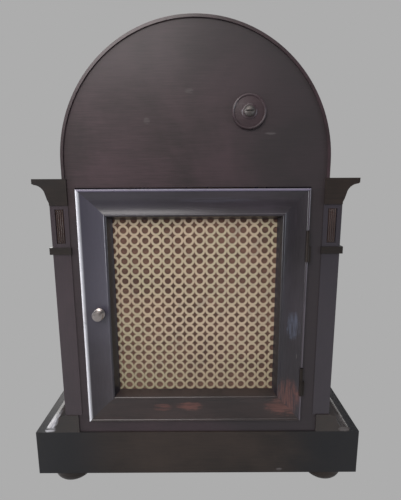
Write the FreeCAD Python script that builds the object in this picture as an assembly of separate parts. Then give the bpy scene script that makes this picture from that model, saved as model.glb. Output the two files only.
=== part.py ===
import FreeCAD, Part
import math
import os
from FreeCAD import Vector

# An arch-topped bracket clock on a deep plinth. Millimetres, +Z up, z = 0 under the feet.
# The dial faces -Y and the fretted back door faces +Y. "Left" and "right" are as seen from the front.

# ---------------------------------------------------------------- driving dimensions
# feet and plinth
foot_diameter = 47.0
foot_height = 27.4
foot_flat_diameter = 24.0
foot_neck_diameter = 34.0
foot_neck_height = 3.4
foot_inset = 28.0
foot_inset_depth = 36.0
plinth_overhang = 34.75
plinth_height = 52.2
plinth_rail = 52.0
plinth_front_projection = 35.0

# body of the case
pilaster_projection = 14.5
body_depth = 201.0
back_plane = 112.25
board_width = 265.0
side_thickness = 8.0
back_thickness = 10.5
front_thickness = 9.5
panel_inset = 1.5
floor_thickness = 10.0
rim_thickness = 2.7
arch_centre_height = 375.1
side_panel_margin = 24.0
side_panel_sunk = 1.5

# base moulding, pilasters, collars and capitals; sections are in shares of the projection and the height
moulding_step = ((0.0, 1.0), (0.305, 0.904), (0.347, 0.761))
moulding_hollow = ((0.441, 0.46), (0.932, 0.26))
moulding_torus = ((1.008, 0.14), (0.966, 0.0))
capital_steps = ((0.0, 0.0), (0.0, 0.09), (0.1, 0.22), (0.24, 0.5))
capital_cove = ((0.42, 0.66), (0.87, 0.78))
capital_crown = ((1.0, 0.82), (1.0, 1.0))
moulding_height = 20.9
moulding_mitre_margin = 1.0
moulding_projection = 23.6
pilaster_side_depth = 26.0
pilaster_lip = 4.0
pilaster_face_inset = 1.0
flute_width = 9.0
flute_depth = 1.6
flute_margin = 4.0
collar_below_spring = 92.0
collar_height = 7.3
collar_projection = 3.0
collar_lip = 0.8
capital_height = 26.1
capital_below_spring = 15.7
capital_projection = 15.8
capital_depth = 60.0

# back door
back_door_margin = 15.5
back_door_shift = 2.7
back_door_above_plinth = 14.8
back_door_below_spring = 25.5
back_door_proud = 3.0
door_clearance = 1.0
knob_stile_width = 33.5
hinge_stile_width = 30.7
top_rail_width = 31.5
bottom_rail_width = 33.7
frame_rebate = 4.0
rebate_depth = 4.0
bead_width = 3.2
bead_inset = 3.6
shoulder_drop = 1.0
bead_drop = 0.2
bead_foot_drop = 0.6
hollow_margin = 0.4
bullnose_width = 3.0
hollow_depth = 1.6
fret_thickness = 1.0
fret_pitch = 10.83
fret_side_margin = 11.5
fret_end_margin = 6.0
fret_hole = 7.8
cloth_thickness = 0.6

# hinges, knobs and latch
knuckle_diameter = 3.6
hinge_pin_diameter = 1.6
hinge_length = 32.0
hinge_leaf = 1.0
hinge_leaf_width = 8.0
knuckle_inset = 1.5
knuckle_proud = 0.3
front_knuckle_gap = 0.2
front_leaf_sink = 0.3
front_leaf_inset = 1.0
hinge_below_top = 58.6
hinge_above_bottom = 47.5
running_clearance = 0.08
gap = 0.3
latch_above_bottom = 125.9
latch_inset = 17.7
knob_diameter = 12.0
knob_sections = ((1.0, 0.1), (0.55, 0.24), (0.55, 0.5), (0.92, 0.64), (1.0, 0.78), (0.86, 0.93), (0.45, 1.0))
knob_reach = 8.5
knob_seat = 1.2
spindle_diameter = 4.0
tongue_length = 21.5
tongue_width = 7.0
tongue_thickness = 3.0
tongue_taper = 0.7

# front door and dial
front_door_thickness = 10.0
front_frame_width = 22.0
front_door_margin = 16.7
front_door_above_moulding = 1.0
front_door_gap = 0.5
front_knob_shank = 4.0
front_knob_diameter = 10.4
front_knob_reach = 12.8
front_knob_sections = ((0.87, 0.0), (0.87, 0.1), (0.5, 0.2), (0.5, 0.47), (0.96, 0.66), (1.0, 0.81), (0.58, 0.97))
glass_thickness = 2.2
glass_seat = 2.4
glass_rebate = 3.0
sight_ring_recess = 1.0
sight_ring_width = 4.0
dial_overlap = 9.0
dial_thickness = 2.0
hands_below_spring = 113.1
sill_below_hands = 94.5
pipe_hole_diameter = 14.0
chapter_margin = 7.8
chapter_ring_width = 27.0
chapter_thickness = 1.4
arch_ring_diameter = 66.0
arch_ring_above_spring = 22.9
arch_boss_diameter = 6.0
arch_boss_height = 2.0
spandrel_size = 30.0
spandrel_margin = 4.0
spandrel_ring_gap = 3.0
spandrel_curve = 0.32
hour_hand_inset = 7.0
minute_hand_inset = 8.0
hour_hand_width = 7.0
minute_hand_width = 5.0
hour_hand_gap = 2.2
hands_gap = 2.6
hour_hand_boss = 14.0
minute_hand_boss = 10.4
hour_hand_loop = 13.0
minute_hand_loop = 9.2
hand_waist = 0.35
hand_loop_place = 0.62
collet_diameter = 7.2
collet_height = 1.4
hand_thickness = 1.0
winding_hole_diameter = 13.0

# movement
plate_width = 168.0
plates_above_hands = 92.0
plate_thickness = 2.5
plate_spacing = 58.0
motion_gap = 13.0
plate_pillar_diameter = 9.0
plate_pillar_waist = 0.62
plate_pillar_end = 4.0
plate_pillar_inset = 7.0
dial_pillar_inset = 8.0
dial_pillar_diameter = 5.0
seat_below_hands = 86.0
seat_thickness = 12.0
seat_behind_plates = 4.0
seat_front_gap = 4.0
bearer_size = 14.0
pivot_diameter = 1.6
arbor_diameter = 2.2
barrel_arbor_diameter = 8.0
barrel_pivot_diameter = 5.0
winding_square = 4.2
pipe_diameter = 4.0
stud_diameter = 3.0
stud_length = 11.0
hour_pipe_diameter = 8.4
hour_pipe_overhang = 1.4
minute_collet_diameter = 6.0
cannon_front = 5.0
cannon_length = 4.0
minute_pinion_length = 5.0
hour_wheel_front = 9.6
arm_width = 2.2

# trains: teeth and modules
great_teeth = 72
great_module = 1.1
centre_pinion_teeth = 6
centre_teeth = 72
centre_module = 0.7
third_pinion_teeth = 6
third_teeth = 66
third_module = 0.62
escape_pinion_teeth = 6
escape_teeth = 30
escape_diameter = 34.0
cannon_teeth = 12
minute_teeth = 36
cannon_module = 0.75
minute_pinion_teeth = 10
hour_teeth = 40
hour_module = 0.72
pin_wheel_teeth = 60
pin_pinion_teeth = 6
fly_pinion_teeth = 6
pin_wheel_module = 0.8
lifting_pins = 6
wheel_thickness = 2.0
escape_thickness = 1.2
escape_tooth_height = 3.6
escape_tooth_lean = 0.42
tooth_rise = 0.72
tooth_depth = 1.15
tooth_tip = 0.24
leaf_rise = 0.62
leaf_depth = 1.1
leaf_root = 0.15
leaf_tip = 0.055
centre_rim = 2.4
third_rim = 2.2
escape_rim = 2.0
centre_hub = 12.0
third_hub = 10.0
escape_hub = 8.8
lifting_pin_circle = 34.0
lifting_pin_diameter = 1.8
lifting_pin_length = 4.0
fly_span = 22.0
fly_length = 18.0
fly_thickness = 1.2
barrel_cap_lip = 0.8
barrel_cap_width = 2.5
great_wheel_place = 8.0
centre_wheel_place = 12.0
third_wheel_place = 20.0
escape_wheel_place = 7.0
pin_wheel_gap = 1.5
going_direction = -14.0
third_direction = 75.0
pin_direction = 84.0
fly_direction = 150.0
hammer_below_top = 14.0
hammer_arbor_x = -62.0
pinion_length = 5.0
pinion_overhang = 1.5
strike_wheel_offset = 4.5
winding_recess = 4.5
barrel_diameter = 52.0
barrel_length = 30.0

# pendulum, gong and hammer
pendulum_length = 205.0
pendulum_behind_plate = 14.0
pallets_above_hands = 74.0
anchor_spread = 12.0
anchor_tip = 3.4
anchor_shoulder = 2.4
anchor_face = 0.6
anchor_depth = 5.0
anchor_waist = 5.0
anchor_crown = 4.0
anchor_thickness = 2.0
crutch_width = 3.2
crutch_thickness = 2.0
crutch_gap = 4.0
crutch_pin_diameter = 1.8
crutch_pin_reach = 3.0
cock_rise = 8.0
cock_thickness = 6.0
cock_width = 18.0
cock_foot_width = 34.0
cock_foot_thickness = 3.0
cock_reach = 5.0
chop_width = 13.0
chop_thickness = 3.6
chop_height = 4.5
suspension_spring_width = 9.2
suspension_spring_thickness = 0.6
crutch_length = 58.0
pallet_clearance = 1.6
pendulum_rod_diameter = 2.6
spring_length = 14.0
spring_block_height = 7.0
spring_block_thickness = 4.0
fork_width = 8.0
fork_thickness = 4.4
fork_height = 12.0
fork_slot_width = 2.4
fork_slot_height = 8.0
rod_below_bob = 9.0
rating_nut_diameter = 10.0
rating_nut_height = 5.5
bob_flat = 1.6
bob_shoulder = 0.62
bob_shoulder_drop = 0.72
bob_diameter = 52.0
bob_thickness = 11.0
gong_offset = -51.8
gong_above_spring = 46.9
gong_disc_diameter = 33.0
gong_disc_thickness = 4.0
gong_disc_edge = 1.6
gong_disc_chamfer = 1.4
gong_screw_slot = 1.4
screw_shoulder = 0.75
screw_shoulder_rise = 0.4
screw_rise = 0.62
screw_slot_floor = 0.3
shank_clearance = 0.05
gong_post_diameter = 11.0
gong_post_reach = 4.0
gong_flange_diameter = 26.0
gong_flange_thickness = 4.0
gong_arm_height = 5.4
gong_arm_width = 6.8
gong_thread_depth = 14.0
gong_screw_diameter = 10.6
gong_rod_diameter = 4.2
gong_turns = 3
gong_inner_radius = 11.0
gong_turn_pitch = 11.0
gong_stand_off = 42.0
hammer_head_diameter = 11.0
hammer_head_length = 15.0
hammer_rest_gap = 3.0
hammer_strike_angle = -43.0
hammer_stem_diameter = 3.0
hammer_boss_diameter = 8.0
hammer_boss_length = 6.0
past = 1.0
far = 400.0

# ---------------------------------------------------------------- places that follow from them
plinth_top = foot_height + plinth_height
board_half = board_width / 2.0
body_half = board_half + pilaster_projection
plinth_half = body_half + plinth_overhang
hand_centre_height = arch_centre_height - hands_below_spring
seat_height = hand_centre_height - seat_below_hands
capital_top = arch_centre_height - capital_below_spring
capital_bottom = capital_top - capital_height
collar_bottom = arch_centre_height - collar_below_spring
front_plane = back_plane - body_depth
plinth_front = front_plane - plinth_front_projection
back_board_outer = back_plane - panel_inset
back_board_inner = back_board_outer - back_thickness
front_board_outer = front_plane + panel_inset
front_board_inner = front_board_outer + front_thickness
inner_half = board_half - side_thickness
rim_half = board_half - rim_thickness
moulding_top = plinth_top + moulding_height
floor_top = plinth_top + floor_thickness
back_door_half_width = board_half - back_door_margin
back_door_right = back_door_half_width + back_door_shift
back_door_left = -back_door_half_width + back_door_shift
back_door_bottom = plinth_top + back_door_above_plinth
back_door_top = arch_centre_height - back_door_below_spring
back_hinge_heights = (back_door_top - hinge_below_top, back_door_bottom + hinge_above_bottom)
latch_height = back_door_bottom + latch_above_bottom
back_door_outer = back_plane + back_door_proud
back_door_inner = back_board_inner
fret_plane = back_door_inner + rebate_depth
front_door_inner = front_board_outer - front_door_gap
front_door_outer = front_door_inner - front_door_thickness
front_door_half = board_half - front_door_margin
front_door_bottom = moulding_top + front_door_above_moulding
front_opening_half = front_door_half - front_frame_width
front_opening_bottom = hand_centre_height - sill_below_hands
glass_outer = front_door_outer + glass_seat
glass_inner = glass_outer + glass_thickness
dial_front = front_board_inner
dial_back = dial_front + dial_thickness
dial_half = front_opening_half + dial_overlap
dial_bottom = front_opening_bottom - dial_overlap
chapter_outer_radius = front_opening_half - chapter_margin
chapter_inner_radius = chapter_outer_radius - chapter_ring_width
arch_ring_height = arch_centre_height + arch_ring_above_spring
hour_hand_length = chapter_inner_radius - hour_hand_inset
minute_hand_length = chapter_outer_radius - minute_hand_inset
front_plate_front = dial_back + motion_gap
front_plate_back = front_plate_front + plate_thickness
back_plate_front = front_plate_back + plate_spacing
back_plate_back = back_plate_front + plate_thickness
seat_top = seat_height + seat_thickness
plate_bottom = seat_top
plate_top = hand_centre_height + plates_above_hands
pivot_radius = pivot_diameter / 2.0
barrel_pivot_radius = barrel_pivot_diameter / 2.0
pendulum_y = back_plate_back + pendulum_behind_plate
knuckle_radius = knuckle_diameter / 2.0
back_hinge_x = back_door_left + knuckle_inset
back_hinge_y = back_door_outer + knuckle_proud
front_hinge_x = front_door_half + knuckle_radius
front_hinge_y = front_board_outer - knuckle_radius - front_knuckle_gap
latch_x = back_door_right - latch_inset
front_knob_x = -front_door_half + front_frame_width / 2.0
pallet_height = hand_centre_height + pallets_above_hands
gong_x = gong_offset
gong_height = arch_centre_height + gong_above_spring
hand_back = dial_front - chapter_thickness - hour_hand_gap
minute_hand_back = hand_back - hand_thickness - hands_gap
motion_y = front_plate_front - cannon_front
gong_plane = back_board_inner - gong_stand_off
gong_shank_radius = gong_screw_diameter / 4.0


def mesh_distance(module, teeth_a, teeth_b):
    """Distance between the arbors of two wheels in mesh."""
    return module * (teeth_a + teeth_b) / 2.0


def around(centre, distance, degrees):
    """A point (x, z) at a distance from a centre, seen from the front, 0 to the right, 90 up."""
    turn = math.radians(degrees)
    return (centre[0] + distance * math.cos(turn), centre[1] + distance * math.sin(turn))


centre_arbor = (0.0, hand_centre_height)
great_distance = mesh_distance(great_module, great_teeth, centre_pinion_teeth)
going_arbor = around(centre_arbor, great_distance, going_direction)
third_distance = mesh_distance(centre_module, centre_teeth, third_pinion_teeth)
third_arbor = around(centre_arbor, third_distance, third_direction)
escape_distance = mesh_distance(third_module, third_teeth, escape_pinion_teeth)
escape_arbor = (0.0, third_arbor[1] + math.sqrt(escape_distance ** 2 - third_arbor[0] ** 2))
minute_distance = mesh_distance(cannon_module, cannon_teeth, minute_teeth)
minute_arbor = around(centre_arbor, minute_distance, -90.0)
strike_arbor = (-going_arbor[0], going_arbor[1])
pin_distance = mesh_distance(great_module, great_teeth, pin_pinion_teeth)
pin_arbor = around(strike_arbor, pin_distance, pin_direction)
fly_distance = mesh_distance(pin_wheel_module, pin_wheel_teeth, fly_pinion_teeth)
fly_arbor = around(pin_arbor, fly_distance, fly_direction)
pallet_arbor = (0.0, pallet_height)
hammer_arbor = (hammer_arbor_x, plate_top - hammer_below_top)
great_wheel_y = front_plate_back + great_wheel_place
barrel_y = great_wheel_y + wheel_thickness
strike_wheel_y = great_wheel_y + strike_wheel_offset
centre_wheel_y = back_plate_front - centre_wheel_place
third_wheel_y = front_plate_back + third_wheel_place
escape_wheel_y = back_plate_front - escape_wheel_place
pin_wheel_y = barrel_y + barrel_length + pin_wheel_gap


# ---------------------------------------------------------------- helpers
def box(x0, x1, y0, y1, z0, z1):
    """A block between two opposite corners."""
    return Part.makeBox(x1 - x0, y1 - y0, z1 - z0, Vector(x0, y0, z0))


def rod_y(radius, x, z, y0, y1):
    """A round bar along Y."""
    return Part.makeCylinder(radius, y1 - y0, Vector(x, y0, z), Vector(0, 1, 0))


def rod_z(radius, x, y, z0, z1):
    """A round bar along Z."""
    return Part.makeCylinder(radius, z1 - z0, Vector(x, y, z0), Vector(0, 0, 1))


def outline(start, *steps):
    """A closed outline; a step is the next point, or a point on an arc and the arc's end."""
    edges = []
    here = start
    for step in steps:
        if isinstance(step, tuple):
            edges.append(Part.Arc(here, step[0], step[1]).toShape())
            here = step[1]
        else:
            edges.append(Part.LineSegment(here, step).toShape())
            here = step
    if here.distanceToPoint(start) > 1e-6:
        edges.append(Part.LineSegment(here, start).toShape())
    return Part.Wire(edges)


def solid_from(wire, direction):
    """The solid swept by a flat closed outline along a direction."""
    return Part.Face(wire).extrude(direction)


def prism_y(points, y0, y1):
    """A polygon in X and Z, extruded along Y."""
    corners = [Vector(x, y0, z) for x, z in points]
    return solid_from(Part.makePolygon(corners + [corners[0]]), Vector(0, y1 - y0, 0))


def prism_z(points, z0, z1):
    """A polygon in X and Y, extruded along Z."""
    corners = [Vector(x, y, z0) for x, y in points]
    return solid_from(Part.makePolygon(corners + [corners[0]]), Vector(0, 0, z1 - z0))


def arched(half, bottom, y0, y1, spring=arch_centre_height):
    """An upright board with a half-round top, extruded along Y."""
    start = Vector(-half, y0, bottom)
    top = (Vector(0, y0, spring + half), Vector(-half, y0, spring))
    wire = outline(start, Vector(half, y0, bottom), Vector(half, y0, spring), top)
    return solid_from(wire, Vector(0, y1 - y0, 0))


def turned_y(points, x, z):
    """A piece turned about an axis along Y; points are (radius, y), from the axis out and back."""
    corners = [Vector(x + radius, y, z) for radius, y in points]
    wire = Part.makePolygon(corners + [corners[0]])
    return Part.Face(wire).revolve(Vector(x, 0, z), Vector(0, 1, 0), 360)


def fused(first, *others):
    """One solid from pieces that overlap or share faces."""
    shape = first.fuse(list(others)).removeSplitter()
    return shape.Solids[0] if len(shape.Solids) == 1 else shape


def mirrored_x(shape):
    """The same piece on the other side of the clock."""
    return shape.mirror(Vector(0, 0, 0), Vector(1, 0, 0))


def save(node, *shapes):
    """Writes the pieces of one node."""
    solids = [solid for shape in shapes for solid in shape.Solids]
    shape = solids[0] if len(solids) == 1 else Part.makeCompound(solids)
    shape.exportStep("parts/" + node + ".step")


# ---------------------------------------------------------------- case
def bun_foot(x, y):
    """A turned bun foot with a short neck under the plinth."""
    flat = foot_flat_diameter / 2.0
    neck = foot_neck_diameter / 2.0
    belly_top = foot_height - foot_neck_height
    middle = Vector(x + foot_diameter / 2.0, y, belly_top / 2.0)
    start = Vector(x, y, 0)
    wire = outline(start, Vector(x + flat, y, 0), (middle, Vector(x + neck, y, belly_top)),
                   Vector(x + neck, y, foot_height), Vector(x, y, foot_height))
    return Part.Face(wire).revolve(start, Vector(0, 0, 1), 360)


def bun_feet():
    x = plinth_half - foot_inset
    rows = (back_plane - foot_inset_depth, plinth_front + foot_inset_depth)
    return [bun_foot(side * x, y) for side in (-1, 1) for y in rows]


def plinth_rails():
    """Four rails mitred at the corners."""
    out = plinth_half
    inn = out - plinth_rail
    front, back = plinth_front, back_plane
    corners = ((-out, front), (out, front), (out, back), (-out, back))
    inside = ((-inn, front + plinth_rail), (inn, front + plinth_rail),
              (inn, back - plinth_rail), (-inn, back - plinth_rail))
    rails = []
    for i in range(4):
        j = (i + 1) % 4
        plan = (corners[i], corners[j], inside[j], inside[i])
        rails.append(prism_z(plan, foot_height, plinth_top))
    return rails


def moulding_profile(place, behind):
    """The cove moulding's section; place turns (projection, height) into a point."""
    def at(share):
        return place(share[0] * moulding_projection, share[1] * moulding_height)

    steps = [at(share) for share in moulding_step]
    hollow = tuple(at(share) for share in moulding_hollow)
    torus = tuple(at(share) for share in moulding_torus)
    return outline(place(-behind, 0), place(-behind, moulding_height), *steps, hollow, torus)


def base_mouldings():
    """Left, right and front lengths, mitred at the front corners and cut flush at the back."""
    reach = moulding_projection + moulding_mitre_margin
    z0, z1 = plinth_top - past, moulding_top + past
    side_wire = moulding_profile(lambda p, h: Vector(body_half + p, front_plane - reach, plinth_top + h),
                                 body_half - board_half)
    side = solid_from(side_wire, Vector(0, body_depth + reach, 0))
    front_start = -body_half - reach
    front_wire = moulding_profile(lambda p, h: Vector(front_start, front_plane - p, plinth_top + h), panel_inset)
    front = solid_from(front_wire, Vector(-2 * front_start, 0, 0))
    side_plan = ((board_half, front_plane), (body_half, front_plane), (body_half + reach, front_plane - reach),
                 (body_half + reach, back_plane), (board_half, back_plane))
    half_plan = ((board_half, front_board_outer), (board_half, front_plane), (body_half, front_plane),
                 (body_half + reach, front_plane - reach))
    front_plan = half_plan + tuple((-x, y) for x, y in reversed(half_plan))
    side = side.common(prism_z(side_plan, z0, z1))
    front = front.common(prism_z(front_plan, z0, z1))
    return side, mirrored_x(side), front


def floor_board():
    return box(-board_half, board_half, front_board_inner, back_board_inner, plinth_top, floor_top)


def side_board():
    """The right side board, with a sunk panel on its outer face between the pilasters."""
    board = box(inner_half, board_half, front_board_inner, back_board_inner, floor_top, capital_top)
    margin = side_panel_margin
    recess = box(board_half - side_panel_sunk, board_half + past, front_plane + pilaster_side_depth + margin,
                 back_plane - pilaster_side_depth - margin, moulding_top + margin, capital_bottom - margin)
    return board.cut(recess)


def arch_shell():
    """The bent top: a half-round shell on short straight legs, with a thin rim round each board."""
    outer = arched(board_half, capital_top, front_plane, back_plane)
    inner = arched(inner_half, capital_top - past, front_plane - past, back_plane + past)
    back_seat = arched(rim_half, capital_top - past, back_board_inner, back_plane + past)
    front_seat = arched(rim_half, capital_top - past, front_plane - past, front_board_inner)
    return outer.cut([inner, back_seat, front_seat])


def arched_board(y0, y1):
    """An end board of the case: full width below the capitals' tops, within the rim above them."""
    lower = box(-board_half, board_half, y0, y1, plinth_top, capital_top)
    upper = arched(rim_half, plinth_top, y0, y1)
    return fused(lower, upper)


def back_board():
    """The back board with the door's opening and the hole for the gong's screw."""
    clear = door_clearance
    opening = box(back_door_left - clear, back_door_right + clear,
                  back_board_inner - past, back_plane, back_door_bottom - clear, back_door_top + clear)
    hole = rod_y(gong_shank_radius, gong_x, gong_height, back_board_inner - past, back_plane)
    notches = [back_case_leaf(z) for z in back_hinge_heights]
    return arched_board(back_board_inner, back_board_outer).cut([opening, hole] + notches)


def front_board():
    """The front board with its arched dial opening."""
    opening = arched(front_opening_half, front_opening_bottom, front_plane - past, front_board_inner + past)
    return arched_board(front_board_outer, front_board_inner).cut(opening)


def pilaster(face, back):
    """A right-hand corner pilaster; face is the y of its end face, back the y of its far side."""
    inward = 1 if back > face else -1
    face_y = face + inward * pilaster_face_inset
    board_y = face + inward * panel_inset
    low, high = sorted((face_y, back))
    post = box(board_half, body_half, low, high, moulding_top, capital_bottom)
    low, high = sorted((face_y, board_y))
    lip = box(board_half - pilaster_lip, board_half, low, high, moulding_top, capital_bottom)
    shaft = fused(post, lip)
    z0 = collar_bottom + collar_height + flute_margin
    z1 = capital_bottom - flute_margin
    middle = (board_half - pilaster_lip + body_half) / 2.0
    low, high = sorted((face_y - inward, face_y + inward * flute_depth))
    end_flute = box(middle - flute_width / 2.0, middle + flute_width / 2.0, low, high, z0, z1)
    centre_y = (face_y + back) / 2.0
    side_flute = box(body_half - flute_depth, body_half + past, centre_y - flute_width / 2.0,
                     centre_y + flute_width / 2.0, z0, z1)
    return shaft.cut([end_flute, side_flute])


def pilaster_ends():
    """(y of the end face, y of the far side) for the back and the front corners."""
    return ((back_plane, back_plane - pilaster_side_depth), (front_plane, front_plane + pilaster_side_depth))


def collar(face, back):
    """The band round a right-hand pilaster."""
    inward = 1 if back > face else -1
    low, high = sorted((face, back + inward * collar_projection))
    band = box(board_half - pilaster_lip - collar_lip, body_half + collar_projection, low, high,
               collar_bottom, collar_bottom + collar_height)
    low, high = sorted((face - inward, back))
    return band, low, high


def collars():
    """Four bands, each cut round the pilaster and the board that it wraps."""
    bands = []
    for face, back in pilaster_ends():
        band, low, high = collar(face, back)
        shaft = pilaster(face, back)
        board = box(0, board_half, front_board_outer, back_board_outer, collar_bottom - past, capital_bottom)
        piece = band.cut([shaft, board])
        bands += [piece, mirrored_x(piece)]
    return bands


def capital_profile(place):
    """The capital's section; place turns (projection, height above its bottom) into a point."""
    def at(share):
        return place(share[0] * capital_projection, share[1] * capital_height)

    steps = [at(share) for share in capital_steps]
    cove = tuple(at(share) for share in capital_cove)
    crown = [at(share) for share in capital_crown]
    return outline(place(-capital_depth, 0), *steps, cove, *crown, place(-capital_depth, capital_height))


def capital(face, back):
    """A right-hand capital: mitred returns on the outer side, across the case and at the end face."""
    inward = 1 if back > face else -1
    reach = capital_projection + past
    z0 = capital_bottom
    side = solid_from(capital_profile(lambda p, h: Vector(body_half + p, -far, z0 + h)), Vector(0, 2 * far, 0))
    ret = solid_from(capital_profile(lambda p, h: Vector(0, back + inward * p, z0 + h)), Vector(far, 0, 0))
    block = side.common(ret)
    if inward > 0:
        front = solid_from(capital_profile(lambda p, h: Vector(0, face - p, z0 + h)), Vector(far, 0, 0))
        block = block.common(front)
        low, high = face - reach, back + reach
    else:
        low, high = back - reach, face
    block = block.common(box(board_half - pilaster_lip, body_half + reach, low, high, z0, capital_top))
    boards = box(0, board_half, front_board_outer, back_board_outer, z0 - past, capital_top + past)
    return block.cut(boards)


def capitals():
    pieces = []
    for face, back in pilaster_ends():
        piece = capital(face, back)
        pieces += [piece, mirrored_x(piece)]
    return pieces


def seat():
    """The seat board across the case and the two bearers that carry it."""
    y1 = back_plate_back + seat_behind_plates
    y0 = dial_back + seat_front_gap
    board = box(-inner_half, inner_half, y0, y1, seat_height, seat_top)
    bearer = box(inner_half - bearer_size, inner_half, y0, y1, seat_height - bearer_size, seat_height)
    return board, [bearer, mirrored_x(bearer)]


# ---------------------------------------------------------------- hinges
def hinge_pair(x, y, z, case_leaf, door_leaf):
    """Case and door halves of one two-knuckle hinge; a leaf is a list of boxes' x and y limits."""
    z0 = z - hinge_length / 2.0
    z1 = z + hinge_length / 2.0
    bore = hinge_pin_diameter / 2.0 + running_clearance
    hole = rod_z(bore, x, y, z - past, z1 + past)
    pin = rod_z(hinge_pin_diameter / 2.0, x, y, z0, z1)
    low, high = z - gap / 2.0, z + gap / 2.0
    case_leaves = [box(*limits, z0, low) for limits in case_leaf]
    door_leaves = [box(*limits, high, z1) for limits in door_leaf]
    case_half = fused(rod_z(knuckle_radius, x, y, z0, low), pin, *case_leaves)
    door_half = fused(rod_z(knuckle_radius, x, y, high, z1), *door_leaves)
    return case_half, door_half.cut(hole)


def back_case_leaf(z):
    """The case leaf of a back hinge, let into the edge of the door's opening."""
    opening = back_door_left - door_clearance
    return box(opening - hinge_leaf, opening, back_board_outer - hinge_leaf_width, back_hinge_y,
               z - hinge_length / 2.0, z - gap / 2.0)


def back_hinges():
    """Leaves let in between the door's edge and the opening, knuckles proud of the door."""
    x, y = back_hinge_x, back_hinge_y
    door_leaf = ((back_door_left, back_door_left + hinge_leaf, back_door_outer - hinge_leaf_width, y),)
    case_side, door_side = [], []
    for z in back_hinge_heights:
        leaf = back_case_leaf(z).BoundBox
        case_leaf = ((leaf.XMin, leaf.XMax, leaf.YMin, leaf.YMax), (leaf.XMin, x, y - hinge_leaf, y))
        case_half, door_half = hinge_pair(x, y, z, case_leaf, door_leaf)
        case_side.append(case_half)
        door_side.append(door_half)
    return case_side, door_side


def front_hinges():
    """Leaves on the face of the front board and on the door's edge."""
    x, y = front_hinge_x, front_hinge_y
    edge = x - knuckle_radius
    case_leaf = ((x, x + hinge_leaf_width, front_board_outer - hinge_leaf, front_board_outer),)
    door_leaf = ((edge - hinge_leaf, edge + front_leaf_sink, front_door_outer + front_leaf_inset, front_door_inner),)
    case_side, door_side = [], []
    for z in back_hinge_heights:
        case_half, door_half = hinge_pair(x, y, z, case_leaf, door_leaf)
        case_side.append(case_half)
        door_side.append(door_half)
    return case_side, door_side


# ---------------------------------------------------------------- back door
def frame_profile(place, width):
    """Section of a door frame member; place turns (inward from the outer edge, y) into a point."""
    outer, inner = back_door_outer, back_door_inner
    hollow_start = bullnose_width + hollow_margin
    bead_start = width - bead_width - bead_inset
    bead_end = bead_start + bead_width
    shoulder = outer - shoulder_drop
    bull = (place(bullnose_width / 2.0, outer), place(bullnose_width, shoulder))
    hollow = (place((hollow_start + bead_start) / 2.0, shoulder - hollow_depth), place(bead_start, shoulder))
    bead = (place((bead_start + bead_end) / 2.0, outer - bead_drop), place(bead_end, shoulder - bead_foot_drop))
    return outline(place(0, inner), place(0, outer - bullnose_width / 2.0), bull, place(hollow_start, shoulder),
                   hollow, bead, place(width, fret_plane), place(width - frame_rebate, fret_plane),
                   place(width - frame_rebate, inner))


def back_door_frame():
    """Four members mitred at the corners, with different widths, and notches for the hinge leaves."""
    right, left, low, high = back_door_right, back_door_left, back_door_bottom, back_door_top
    length = right - left + 2 * past
    height = high - low + 2 * past
    outside = ((left, low), (right, low), (right, high), (left, high))
    inner_right = right - knob_stile_width
    inner_left = left + hinge_stile_width
    inner_low = low + bottom_rail_width
    inner_high = high - top_rail_width
    inside = ((inner_left, inner_low), (inner_right, inner_low), (inner_right, inner_high), (inner_left, inner_high))
    rails = {
        "bottom": (0, 1, bottom_rail_width, lambda w, y: Vector(left - past, y, low + w), Vector(length, 0, 0)),
        "right": (1, 2, knob_stile_width, lambda w, y: Vector(right - w, y, low - past), Vector(0, 0, height)),
        "top": (2, 3, top_rail_width, lambda w, y: Vector(left - past, y, high - w), Vector(length, 0, 0)),
        "left": (3, 0, hinge_stile_width, lambda w, y: Vector(left + w, y, low - past), Vector(0, 0, height)),
    }
    members = {}
    for name, (i, j, width, place, along) in rails.items():
        bar = solid_from(frame_profile(place, width), along)
        plan = (outside[i], outside[j], inside[j], inside[i])
        members[name] = bar.common(prism_y(plan, back_door_inner - past, back_door_outer + past))
    spindle_hole = rod_y(spindle_diameter / 2.0 + running_clearance, latch_x, latch_height,
                         back_door_inner - past, back_door_outer + past)
    members["right"] = members["right"].cut(spindle_hole)
    for z in back_hinge_heights:
        notch = box(left - past, left + hinge_leaf, back_door_outer - hinge_leaf_width, back_door_outer + past,
                    z + gap / 2.0, z + hinge_length / 2.0)
        relief = rod_z(knuckle_radius + gap, back_hinge_x, back_hinge_y, z - hinge_length / 2.0 - gap,
                       z + hinge_length / 2.0 + gap)
        members["left"] = members["left"].cut([notch, relief])
    return members


def fret_box():
    """The rebate that the fret and its cloth fill, as x and z limits."""
    right = back_door_right - knob_stile_width + frame_rebate
    left = back_door_left + hinge_stile_width - frame_rebate
    low = back_door_bottom + bottom_rail_width - frame_rebate
    high = back_door_top - top_rail_width + frame_rebate
    return left, right, low, high


def fret_centres():
    """Centres of the lattice's rings."""
    left, right, low, high = fret_box()
    columns = int((right - left - 2 * fret_side_margin) / fret_pitch)
    rows = int((high - low - 2 * fret_end_margin) / fret_pitch)
    for row in range(rows):
        z = (low + high) / 2.0 + (row - (rows - 1) / 2.0) * fret_pitch
        for column in range(columns):
            yield (right + left) / 2.0 + (column - (columns - 1) / 2.0) * fret_pitch, z


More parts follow.
